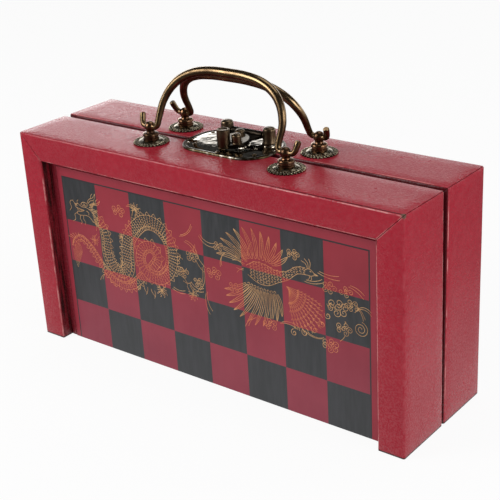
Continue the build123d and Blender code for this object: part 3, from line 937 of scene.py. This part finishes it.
def feather(x, y, heading, length, bend):
    """A feather: its two edges and its rib."""
    for side in (-1, 0, 1):
        line = []
        count = max(5, round(length / 1.6))
        for share in (i / count for i in range(count + 1)):
            angle = heading + bend * share
            swell = side * feather_width * sin(pi * min(1.0, 0.12 + 0.88 * share)) ** 0.7
            line.append(from_place(*from_place(x, y, angle, length * share), angle + 90, swell))
        draw(line)


def fan(count, heading, sweep, x, y, slide, drop, reach=0.0):
    """The roots of a row of feathers: how far along each one is, its heading and its place."""
    for share in (i / (count - 1) for i in range(count)):
        turn = heading + sweep * share
        yield (share, turn, *from_place(x + slide * share, y + drop * share, turn, reach))


def hooks(x, y, heading, length):
    """Two short hooks, one on each side of a feather's root."""
    flick(x, y, heading + 60, length, -120)
    flick(x, y, heading - 60, length, 120)


wing_root_gap = 6.0
feather_width = 1.35
barb_pitch = 2.7
plume_root = (66, 89)
for share, heading, x, y in fan(12, 24, 142, 52, 99, -18, -2, wing_root_gap):
    feather(x, y, heading, 13 + 13 * share - 9 * share**4, 12)
for share, heading, x, y in fan(11, 28, 138, 52, 99, -17, -2, 4.2):
    hooks(x, y, heading, 2.2)
for share, heading, x, y in fan(11, 296, -78, 56, 87, -17, 0, wing_root_gap):
    feather(x, y, heading, 15 + 11 * sin(pi * share) + 5 * share, -14)
for share, heading, x, y in fan(9, 292, -70, 55, 87, -15, 0, 4.0):
    hooks(x, y, heading, 2.0)
for i in range(7):
    flick(36, 93 + 0.8 * i, 200 - 18 * i, 9 + 1.2 * i, 55 if i % 2 else -40)
for share, heading, root_x, root_y in fan(11, 358, -92, *plume_root, 2, -2):
    length = 33 - 6 * abs(share - 0.45) * 2
    bend = -26 + 52 * share
    flick(root_x, root_y, heading, length, bend)
    for k in range(3, round(length / barb_pitch)):
        angle = heading + bend * barb_pitch * k / length / 2
        x, y = from_place(root_x, root_y, angle, barb_pitch * k)
        flick(x, y, angle + 38, 1.9, -30)
        if k % 2:
            flick(x, y, angle - 38, 1.9, 30)
for heading in (352 - 74 * i / 5 for i in range(6)):
    x = plume_root[0] + 33 * cos(radians(heading))
    y = plume_root[1] + 31 * sin(radians(heading))
    spiral(x, y, 2.6, 1.3, heading + 180)
    spiral(x, y, 1.4, 1.0, heading)

deselect()
bpy.ops.curve.primitive_nurbs_path_add(location=(0, 0, 0))
print_front = bpy.context.object
ink = print_front.data
ink.splines.clear()
for line in strokes:
    spline = ink.splines.new("POLY")
    spline.points.add(len(line) - 1)
    for point, (x, y) in zip(spline.points, line):
        point.co = (x * MM, 0, y * MM, 1)
ink.dimensions = "3D"
ink.bevel_depth = ink_half_width * MM
ink.bevel_resolution = 0
ink.use_fill_caps = False
pick(print_front)
bpy.ops.object.convert(target="MESH")
print_front = bpy.context.object
print_front.data.transform(
    Matrix.Translation((0, -board_face * MM, 0)) @ Matrix.Scale(ink_rise / ink_half_width, 4, (0, 1, 0))
)


def gold_ink(name, turned):
    """Gold ink, paler over the dark squares and more orange over the red ones."""
    material, shader, place = new_material(name)
    dark = use_group(square_group, place, Turned=turned)["Dark"]
    patchy = ramp(noise(place, 120.0, 3.0, 0.6), 0.3, 0.7)
    on_dark = blend_colours(patchy, srgb(182, 134, 88), srgb(224, 176, 122))
    on_red = blend_colours(patchy, srgb(196, 104, 74), srgb(228, 146, 96))
    set_node(
        shader, Base_Color=blend_colours(dark, on_red, on_dark), Roughness=ramp(patchy, 0.0, 1.0, 0.5, 0.4),
        Specular_IOR_Level=0.45,
    )
    return material


print_rear = copy_of(print_front)
print_rear.data.transform(Matrix.Rotation(pi, 4, "Z"))
for side, piece, is_turned in (("front", print_front, 0.0), ("rear", print_rear, 1.0)):
    ink_look = gold_ink(f"gold ink, {side}", is_turned)
    settle(piece, f"{side}_gold_print", "board_print", f"{side}_half", ink_look)

# Boards, bottom wall and trays
# Behind the print lies a fibreboard, the bottom wall is a thin board wrapped in the same leatherette, and
# the inside is a tray lined with short red velvet, with dividers halved over each other.


def velvet(name, colour, pale):
    """Short velvet: a soft nap that brightens towards grazing angles."""
    material, shader, place = new_material(name)
    nap = noise(place, 1900.0, 2.0, 0.6)
    brushed = ramp(noise(place, 34.0, 4.0, 0.6), 0.35, 0.68)
    share = maths("MULTIPLY_ADD", nap, 0.35, times(brushed, 0.3))
    set_node(
        shader, Base_Color=blend_colours(share, colour, pale), Roughness=ramp(brushed, 0.0, 1.0, 0.9, 0.98),
        Sheen_Weight=0.5, Sheen_Roughness=0.4, Normal=bumped(nap, 0.5, 0.0002),
    )
    return material


core_board, shader, place = new_material("fibreboard")
flecks = ramp(noise(place, 700.0, 4.0, 0.7), 0.35, 0.7)
set_node(
    shader, Base_Color=blend_colours(flecks, srgb(88, 34, 34), srgb(122, 62, 52)),
    Roughness=ramp(flecks, 0.0, 1.0, 0.8, 0.92), Normal=bumped(flecks, 0.3, 0.0002),
)
tray_velvet = velvet("tray velvet", srgb(120, 16, 28), srgb(172, 40, 52))
divider_velvet = velvet("divider velvet", srgb(128, 18, 30), srgb(180, 46, 56))
wall_wrap = leatherette(
    "wall leatherette", srgb(150, 36, 50), srgb(130, 30, 44), srgb(186, 104, 108), edges=False
)
for side in ("front", "rear"):
    dress(f"{side}_base_board", core_board)
    dress(f"{side}_spine", wall_wrap)
    dress(f"{side}_lining_board", tray_velvet)
    dress(f"{side}_long_divider", divider_velvet)
    dress(f"{side}_cross_dividers", divider_velvet)

# Strip hinge
# One strip of leatherette is glued under both halves along the foot of the seam. It is built as one flat
# piece, with close loops along the line where it folds.

strip_half_length = 152.0
strip_half_width = 18.0
strip_thickness = 0.8
fold_half_width = 1.6

strip = new_box(
    (-strip_half_length, -strip_half_width, 0), (strip_half_length, strip_half_width, strip_thickness)
)
for i in range(-8, 9):
    cut(strip, (0, fold_half_width * i / 8, 0), (0, 1, 0), fill=False)
for i in range(-15, 16):
    cut(strip, (10 * i, 0, 0), (1, 0, 0), fill=False)
strip_wrap = leatherette(
    "strip leatherette", srgb(118, 24, 36), srgb(98, 20, 30), srgb(160, 80, 84), edges=False
)
smooth(strip)
strip.name = "hinge_strip"
strip.data.materials.append(strip_wrap)
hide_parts("front_hinge_flap", "rear_hinge_flap")
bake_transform(strip)

# Brass finish
# All the fittings are cast or turned brass under a brown antique finish, which is rubbed back to gold
# in patches where hands and cloths reach, and more on upward-facing faces, which is partly painted top light.

patina_group, given, result = new_group(
    "brown patina",
    [("Place", "Vector", None), ("Facing", "Vector", None), ("Rubbed", "Float", 0.5)],
    [("Mask", "Float")],
)
# Upward-facing faces clear to bright metal more: partly rubbed wear, partly painted top light.
upward_wear_and_light = parts_of(given["Facing"])["Z"]
patches = noise(given["Place"], 90.0, 3.0, 0.55)
level = plus(times(upward_wear_and_light, 0.22), times(patches, 0.9), minus(given["Rubbed"], 0.95))
feed(result["Mask"], ramp(level, -0.2, 0.25))


def old_brass(name, dark, bright, rubbed, roughness):
    """Antique brass: dark patina that clears to bright metal in patches and more on upward-facing faces; the
    latter is partly painted top light.
    """
    material, shader, place = new_material(name)
    facing = place.node.outputs["Normal"]
    mask = use_group(patina_group, place, Facing=facing, Rubbed=rubbed)["Mask"]
    scratches = noise(place, 900.0, 3.0, 0.6)
    set_node(
        shader, Base_Color=blend_colours(mask, dark, bright), Roughness=ramp(mask, 0.0, 1.0, *roughness),
        Metallic=1.0, Normal=bumped(scratches, 0.1, 0.00004),
    )
    return material


bail_brass = old_brass("bail brass", srgb(80, 62, 44), srgb(144, 120, 88), 0.46, (0.36, 0.22))
copper_brass = old_brass("post brass", srgb(74, 54, 40), srgb(142, 106, 78), 0.42, (0.34, 0.22))
rosette_brass = old_brass("rosette brass", srgb(60, 50, 38), srgb(156, 144, 120), 0.44, (0.34, 0.2))
stud_brass = old_brass("stud brass", srgb(72, 60, 46), srgb(130, 110, 86), 0.4, (0.4, 0.28))

# Rosettes
# Each post stands on a stamped washer: a low dome whose rim is fluted into petals.

posts_middle_x = -0.6
post_half_spacing = 55.6
post_from_seam = 17.6
petal_count = 30
petal_middle = 10.0
petal_height = 0.7
petal_droop = 9
petal_size = (2.15, 0.98, 1.05)
rosette_dish = [
    (10.2, 0.02), (10.4, 0.4), (9.9, 0.85), (9.0, 1.2), (8.0, 1.6), (6.9, 2.0), (6.2, 2.2), (5.4, 2.1),
    (2.2, 2.1),
]


def turned(profile, x, y, z, steps=64):
    """A turned form: a ring drawn up from one radius and height to the next, closed at both ends."""
    deselect()
    radius, height = profile[0]
    middle = Vector((x, y, z)) * MM
    bpy.ops.mesh.primitive_circle_add(
        vertices=steps, radius=radius * MM, fill_type="NGON", location=middle + Vector((0, 0, height * MM))
    )
    piece = bpy.context.object
    apply_place()
    edit_all(piece)
    for new_radius, new_height in profile[1:]:
        bpy.ops.mesh.extrude_region_move(
            TRANSFORM_OT_translate={"value": (0, 0, (new_height - height) * MM)}
        )
        share = new_radius / radius
        bpy.ops.transform.resize(value=(share, share, 1), center_override=middle)
        radius, height = new_radius, new_height
    leave_edit(outwards=True)
    return piece


for side, end in both_ends:
    eye_x = posts_middle_x + end * post_half_spacing
    dish = turned(rosette_dish, eye_x, -post_from_seam, case_height, 90)
    deselect()
    bpy.ops.mesh.primitive_uv_sphere_add(segments=12, ring_count=8, radius=MM, location=(0, 0, 0))
    petal = bpy.context.object
    petal.scale = petal_size
    petal.rotation_euler = (0, radians(petal_droop), 0)
    petal.location = (petal_middle * MM, 0, petal_height * MM)
    apply_place()
    petals = [copy_of(petal) for i in range(petal_count)]
    for i, twin in enumerate(petals):
        twin.data.transform(
            Matrix.Translation(Vector((eye_x, -post_from_seam, case_height)) * MM)
            @ Matrix.Rotation(2 * pi * i / petal_count, 4, "Z")
        )
    bpy.data.objects.remove(petal)
    rosette = joined([dish, *petals])
    cut(rosette, (0, 0, case_height + 0.01), (0, 0, -1))
    settle_pair(smooth(rosette, 40), f"{side}_rosette", "antique_brass", rosette_brass)

# Eye posts
# A turned post with a grooved collar and a ball head. The real ball is drilled through for the bail; here
# the ball is solid and the bail's neck runs into it.

eye_height = 10.7
ball_radius = 3.7
collar_profile = [
    (2.0, -9.0), (2.0, 2.05), (5.0, 2.15), (5.35, 2.4), (5.35, 3.4), (4.8, 3.75), (4.75, 4.3), (5.35, 4.7),
    (5.35, 6.0), (5.0, 6.5), (4.3, 6.8), (3.1, 6.9), (2.85, 7.3),
]
ball_turns = [-56, -42, -28, -14, 0, 14, 28, 42, 56, 70, 82]
ball_profile = [
    (ball_radius * cos(radians(turn)), eye_height + ball_radius * sin(radians(turn))) for turn in ball_turns
]
post_profile = collar_profile + [(2.7, 7.6)] + ball_profile[1:]
for side, end in both_ends:
    post = turned(post_profile, posts_middle_x + end * post_half_spacing, -post_from_seam, case_height, 48)
    settle_pair(smooth(post, 50), f"{side}_post", "antique_brass", copper_brass)

# Nuts
# Inside the case each post is held by a washer and a plain steel nut.

nut_steel, shader, place = new_material("nut steel")
dulled = noise(place, 300.0, 3.0, 0.5)
set_node(
    shader, Base_Color=blend_colours(dulled, srgb(150, 150, 148), srgb(196, 196, 192)),
    Roughness=ramp(dulled, 0.0, 1.0, 0.28, 0.45), Metallic=1.0,
)
for side in ("front", "rear"):
    dress(f"{side}_post_nuts", nut_steel)

# Bails
# Each handle is one cast rod: a thick grip, thinner legs, a neck through the post's eye and a short
# upturned horn with a flat end outside it. The rear grip lies behind and a little below the front one.

bail_half_width = 49.2
arch_half_width = 49.9
arch_squareness = 2.88
leg_radius = 2.15
grip_radius = 3.2
bail_fits = {
    "front": (-1, 41.9, 18.3, 3.4),
    "rear": (1, 39.4, 25.2, -0.6),
}
horn_knots = [
    (14.45, 8.3, 1.5), (14.37, 7.95, 1.92), (14.0, 6.0, 2.02), (13.5, 3.6, 1.95), (13.0, 2.0, 1.9),
    (12.1, 0.7, 1.9), (10.6, 0.08, 1.9), (8.4, 0.0, 1.9), (6.4, 0.0, 1.9), (4.4, 0.0, 1.9), (2.5, 0.06, 1.92),
    (1.1, 0.7, 2.0), (0.25, 2.0, 2.08), (0.0, 4.0, 2.12),
]
arch_turns = [14, 20, 28, 37, 48, 62, 76, 90, 104, 118, 132, 143, 152, 160, 166]


def bail_knots(height, sideways):
    """The rod's middle line in the bail's own plane, from the right horn to the left: across, up, radius."""
    knots = [(bail_half_width + out, up, radius) for out, up, radius in horn_knots]
    power = 2 / arch_squareness
    for turn in arch_turns:
        across = cos(radians(turn))
        rise = sin(radians(turn))
        x = (1 if across >= 0 else -1) * arch_half_width * abs(across) ** power + sideways * rise**power
        knots.append((x, height * rise**power, leg_radius + (grip_radius - leg_radius) * rise))
    return knots + [(-bail_half_width - out, up, radius) for out, up, radius in reversed(horn_knots)]


for side, (end, height, lean, sideways) in bail_fits.items():
    deselect()
    bpy.ops.curve.primitive_bezier_curve_add(location=(0, 0, 0))
    rod = bpy.context.object.data
    rod.splines.clear()
    spline = rod.splines.new("BEZIER")
    knots = bail_knots(height, sideways)
    spline.bezier_points.add(len(knots) - 1)
    for knot, (x, up, radius) in zip(spline.bezier_points, knots):
        knot.co = (
            (posts_middle_x + x) * MM,
            end * (post_from_seam - up * sin(radians(lean))) * MM,
            (case_height + eye_height + up * cos(radians(lean))) * MM,
        )
        knot.radius = radius
        knot.handle_left_type = "AUTO"
        knot.handle_right_type = "AUTO"
    rod.dimensions = "3D"
    rod.bevel_depth = MM
    rod.bevel_resolution = 7
    rod.resolution_u = 5
    rod.use_fill_caps = True
    bpy.ops.object.convert(target="MESH")
    bail = smooth(bpy.context.object, 45)
    stand_in(bail, f"{side}_bail", "antique_brass", f"{side}_bail", bail_brass)

# Clasp plates
# A squarish oval plate cut in two along the seam: a dark rolled rim round a field polished to a mirror,
# with a raised boss under the hasp, two small pads under the finials, and round-headed nails.

plate_x = -2.5
plate_half_length = 34.5
plate_front = -19.7
plate_rear = 26.0
plate_corner = 18.0
plate_gap = 0.6
boss_x = 1.2
boss_y = -1.2
boss_radius = 10.6
boss_top = 3.2
finials_middle_x = 3.2
finial_half_spacing = 17.3
finial_y = 11.5
pad_radius = 5.8
pad_top = 2.8
plate_rings = [
    (0.0, 0.5), (0.15, 1.0), (0.5, 1.4), (1.15, 1.6), (1.8, 1.5), (2.3, 1.25), (2.9, 1.2), (3.6, 1.4),
    (5.2, 1.75), (7.6, 1.98), (10.5, 2.08),
]
plate_middle_y = (plate_front + plate_rear) / 2
plate_lift = 0.02

deselect()
bpy.ops.mesh.primitive_plane_add(
    size=MM, location=(plate_x * MM, plate_middle_y * MM, (case_height + plate_lift) * MM)
)
field = bpy.context.object
field.scale = (2 * plate_half_length, plate_rear - plate_front, 1)
apply_place()
edit_all(field)
bpy.ops.mesh.bevel(offset=plate_corner * MM, segments=16, affect="VERTICES")
inward, level = plate_rings[0]
bpy.ops.mesh.extrude_region_move(TRANSFORM_OT_translate={"value": (0, 0, (level - plate_lift) * MM)})
for new_inward, new_level in plate_rings[1:]:
    bpy.ops.mesh.inset(thickness=(new_inward - inward) * MM, depth=0)
    bpy.ops.transform.translate(value=(0, 0, (new_level - level) * MM))
    inward, level = new_inward, new_level
leave_edit(outwards=True)


def beyond(value, middle, half):
    """How far a coordinate lies outside a span of millimetres, given by its middle and half length."""
    return larger(minus(absolute(minus(value, middle * MM)), half * MM), 0.0)


def length_of(a, b):
    """The length of a step across and a step along."""
    return maths("SQRT", plus(times(a, a), times(b, b)))


plate_polish, shader, place = new_material("black plate")
parts = parts_of(place)
reach = length_of(
    beyond(parts["X"], plate_x, plate_half_length - plate_corner),
    beyond(parts["Y"], plate_middle_y, (plate_rear - plate_front) / 2 - plate_corner),
)
patches = noise(place, 300.0, 4.0, 0.6)
rim = times(ramp_mm(reach, plate_corner - 2.7, plate_corner - 2.0), ramp(patches, 0.3, 0.55, 0.6, 1.0))
mirror = blend_colours(ramp(patches, 0.3, 0.6), srgb(222, 216, 206), srgb(172, 164, 150))
flecks = ramp(noise(place, 420.0, 2.0, 0.5), 0.62, 0.67)
mirror = blend_colours(flecks, mirror, srgb(34, 30, 26))
set_node(
    shader, Base_Color=blend_colours(rim, mirror, srgb(66, 56, 38)), Metallic=1.0,
    Roughness=ramp(rim, 0.0, 1.0, 0.07, 0.34), Normal=bumped(noise(place, 110.0, 2.0, 0.5), 0.5, 0.0006),
)

boss_profile = [
    (boss_radius, 0.05), (boss_radius, 2.5), (boss_radius - 0.2, 2.95), (boss_radius - 0.7, boss_top),
    (2.0, boss_top),
]
pad_profile = [(pad_radius, 0.05), (pad_radius, 2.4), (pad_radius - 0.5, pad_top), (1.0, pad_top)]
boss = turned(boss_profile, boss_x, boss_y, case_height)
pads = [
    turned(pad_profile, finials_middle_x + end * finial_half_spacing, finial_y, case_height, 40)
    for end in (-1, 1)
]
whole_plate = joined([field, boss, *pads])
for side, end in (("front", -1), ("rear", 1)):
    half = copy_of(whole_plate)
    cut(half, (0, end * plate_gap / 2, 0), (0, -end, 0))
    stand_in(smooth(half, 30), f"{side}_clasp_plate", "black_brass", f"{side}_half", plate_polish)
bpy.data.objects.remove(whole_plate)

# Posts and nails of the clasp
# All are turned: the locking post has a cupped top, the two finials are domed, and the nails have round
# heads.

lock_place = (0.4, -10.4)
lock_profile = [
    (1.4, -6.0), (1.5, 3.2), (4.2, 3.22), (4.3, 3.5), (4.3, 14.4), (4.2, 15.1), (3.8, 15.5),
    (3.2, 15.5), (2.8, 15.1), (2.5, 15.0), (0.6, 15.0),
]
finial_profile = [
    (1.4, -6.0), (1.5, 2.8), (4.6, 2.82), (4.9, 3.2), (4.9, 3.7), (4.6, 4.2), (4.3, 8.0), (4.1, 11.4),
    (4.0, 12.3), (3.5, 13.0), (2.6, 13.4), (1.4, 13.58), (0.5, 13.6),
]
nail_profile = [(0.6, -4.0), (0.7, 1.6), (1.45, 1.62), (1.5, 1.8), (1.3, 2.15), (0.9, 2.4), (0.4, 2.5)]
nail_places = {
    "front": [(-24.0, -10.8), (0.2, -16.9), (24.0, -9.5)],
    "rear": [(-28.5, 13.4), (25.5, 14.5), (3.0, 23.2)],
}
lock = turned(lock_profile, *lock_place, case_height, 48)
stand_in(smooth(lock), "locking_post", "antique_brass", "front_half", stud_brass)
for side, end in both_ends:
    finial = turned(finial_profile, finials_middle_x + end * finial_half_spacing, finial_y, case_height, 48)
    stand_in(smooth(finial), f"{side}_finial", "antique_brass", "rear_half", stud_brass)
for side, places in nail_places.items():
    group = joined([turned(nail_profile, x, y, case_height, 24) for x, y in places])
    stand_in(smooth(group), f"{side}_clasp_nails", "antique_brass", f"{side}_half", stud_brass)

# Hasp, its studs and pin
# The hasp is a leaf of brass plate, with a knuckle that turns on the pin between the finials and a round
# end with a notch for the locking post. It slopes down to the boss, and two studs are riveted to it.

pin_height = 7.4
pin_middle = Vector((finials_middle_x, finial_y, case_height + pin_height)) * MM
leaf_below_pin = 1.7
leaf_thickness = 1.8
leaf_slope = radians(5.566)
leaf_rounding = 0.55
studs = [(7.9, -6.2, 6.6), (2.2, 4.4, 4.6)]

leaf = bpy.data.objects.new("leaf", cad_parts["hasp"].data.copy())
bpy.context.scene.collection.objects.link(leaf)
edit_all(leaf)
bpy.ops.mesh.remove_doubles(threshold=1e-6)
bpy.ops.mesh.dissolve_limited(angle_limit=radians(1))
leave_edit()
add_modifier(
    leaf, "BEVEL", width=leaf_rounding * MM, segments=3, limit_method="ANGLE", angle_limit=radians(40)
)
hasp_brass = old_brass("hasp brass", srgb(30, 26, 22), srgb(60, 52, 44), 0.34, (0.42, 0.34))
shader = hasp_brass.node_tree.nodes["Principled BSDF"]
under = shader.inputs["Base Color"].links[0].from_socket
sides = put(hasp_brass.node_tree, "TexCoord").outputs
# The top face of the round end is painted near-white and made less metallic: a painted reflection of the
# white surround.
from_boss = distance_from(stretched(sides["Object"], 1.0, 1.0, 0.0), (boss_x * MM, boss_y * MM, 0.0))
on_disc = ramp_mm(from_boss, boss_radius - 0.2, boss_radius - 0.8)
disc_painted_reflection = times(on_disc, ramp(parts_of(sides["Normal"])["Z"], 0.3, 0.8))
set_node(
    shader, Base_Color=blend_colours(disc_painted_reflection, under, srgb(236, 230, 220)),
    Metallic=maths("MULTIPLY_ADD", disc_painted_reflection, -0.6, 1.0),
)
stand_in(smooth(leaf, 30), "hasp", "antique_brass", "hasp", hasp_brass)

pair = []
for x, y, height in studs:
    top = leaf_thickness + height
    profile = [
        (1.2, 0.0), (1.2, leaf_thickness + 0.01), (3.3, leaf_thickness + 0.02), (3.5, leaf_thickness + 0.25),
        (3.5, leaf_thickness + 0.8), (3.2, leaf_thickness + 1.2), (3.2, top - 1.3), (3.05, top - 0.7),
        (2.6, top - 0.25), (1.6, top - 0.02), (0.5, top),
    ]
    stud = turned(profile, 0, 0, 0, 40)
    slope = Matrix.Rotation(leaf_slope, 4, "X")
    foot = Vector((x * MM - pin_middle.x, (y * MM - pin_middle.y) / cos(leaf_slope), -leaf_below_pin * MM))
    stud.data.transform(Matrix.Translation(pin_middle) @ slope @ Matrix.Translation(foot))
    pair.append(stud)
stand_in(smooth(joined(pair)), "hasp_studs", "antique_brass", "hasp", stud_brass)
dress("hasp_pin", stud_brass)

# Floor, light and camera
# A pale floor, a white surround, soft studio lamps, and the camera that took the photograph, as fitted.

floor_drop = 0.0002
floor_grey = 0.82
floor_grey_mirrored = 0.03
floor_white = 0.93
floor_mirror = (0.85, 0.15)
floor_mirror_reach = 0.26
floor_mirror_from = (155.0, 46.0)


def grey(level):
    return (level, level, level, 1.0)


def bare_tree(block):
    """The emptied node tree of a material or a world."""
    block.use_nodes = True
    block.node_tree.nodes.clear()
    return block.node_tree


deselect()
bpy.ops.mesh.primitive_plane_add(size=6, location=(0, 0, -floor_drop))
floor = bpy.context.object
floor.name = "floor"
floor_paint = bpy.data.materials.new("floor")
tree = bare_tree(floor_paint)
rays = put(tree, "LightPath").outputs
glossy = rays["Is Glossy Ray"]
parts = parts_of(put(tree, "TexCoord").outputs["Object"])
away = length_of(*(beyond(parts[axis], 0.0, half) for axis, half in zip("XY", floor_mirror_from)))
seen = larger(rays["Is Camera Ray"], rays["Is Transmission Ray"])
mirrored = times(glossy, ramp(away, 0.0, floor_mirror_reach, *floor_mirror))
mixed = put(tree, "MixShader", Fac=larger(times(seen, floor_white), mirrored))
paint = blend_colours(glossy, grey(floor_grey), grey(floor_grey_mirrored))
feed(mixed.inputs[1], put(tree, "BsdfDiffuse", Color=paint).outputs[0])
feed(mixed.inputs[2], put(tree, "Emission", Color=grey(1.0), Strength=1.0).outputs[0])
put(tree, "OutputMaterial", Surface=mixed.outputs[0])
floor.data.materials.append(floor_paint)

backdrop_edge = (0.26, 0.33)
backdrop_behind = (-0.2, 0.25)
backdrop_left_edge = (-0.73, -0.6)
backdrop_level = 1.7
backdrop_left = 1.9
room_level = 0.045
soft_level = 0.38
world = bpy.data.worlds.new("studio")
bpy.context.scene.world = world
tree = bare_tree(world)
rays = put(tree, "LightPath").outputs
parts = parts_of(put(tree, "TexCoord").outputs["Generated"])
low = ramp(parts["Z"], *backdrop_edge, 1.0, 0.0)
behind = times(ramp(parts["Y"], *backdrop_behind), ramp(parts["X"], *backdrop_left_edge, backdrop_left, 1.0))
mirrored = maths("MULTIPLY_ADD", times(low, behind), backdrop_level - room_level, room_level)
strength = plus(
    times(rays["Is Glossy Ray"], mirrored),
    larger(rays["Is Camera Ray"], rays["Is Transmission Ray"]),
    times(rays["Is Diffuse Ray"], soft_level),
)
sky = put(tree, "Background", Color=grey(1.0), Strength=strength)
put(tree, "OutputWorld", Surface=sky.outputs[0])


def lamp(name, place, aim, size, power):
    """A square soft box."""
    light = bpy.data.lights.new(name, "AREA")
    light.shape = "SQUARE"
    light.size = size
    light.energy = power
    holder = bpy.data.objects.new(name, light)
    bpy.context.scene.collection.objects.link(holder)
    holder.location = place
    holder.rotation_euler = (Vector(aim) - Vector(place)).to_track_quat("-Z", "Y").to_euler()


lamp("key", (-0.8, -0.95, 0.75), (0, 0, 0.08), 0.7, 11)
lamp("side", (1.3, -0.1, 0.6), (0, 0, 0.08), 0.7, 8)
lamp("top", (0.0, 0.5, 1.4), (0, 0, 0.1), 0.9, 3)

camera_place = (0.4558, -0.5484, 0.3925)
camera_turn = (66.574, 3.076, 37.882)
focal_pixels = 1155.8
picture_pixels = 500.0
sensor_width = 36.0
camera = bpy.data.objects.new("camera", bpy.data.cameras.new("camera"))
bpy.context.scene.collection.objects.link(camera)
camera.data.sensor_width = sensor_width
camera.data.lens = focal_pixels / picture_pixels * sensor_width
camera.data.clip_start = 0.01
camera.location = camera_place
camera.rotation_euler = [radians(turn) for turn in camera_turn]
bpy.context.scene.camera = camera
bpy.context.scene.view_settings.view_transform = "Standard"
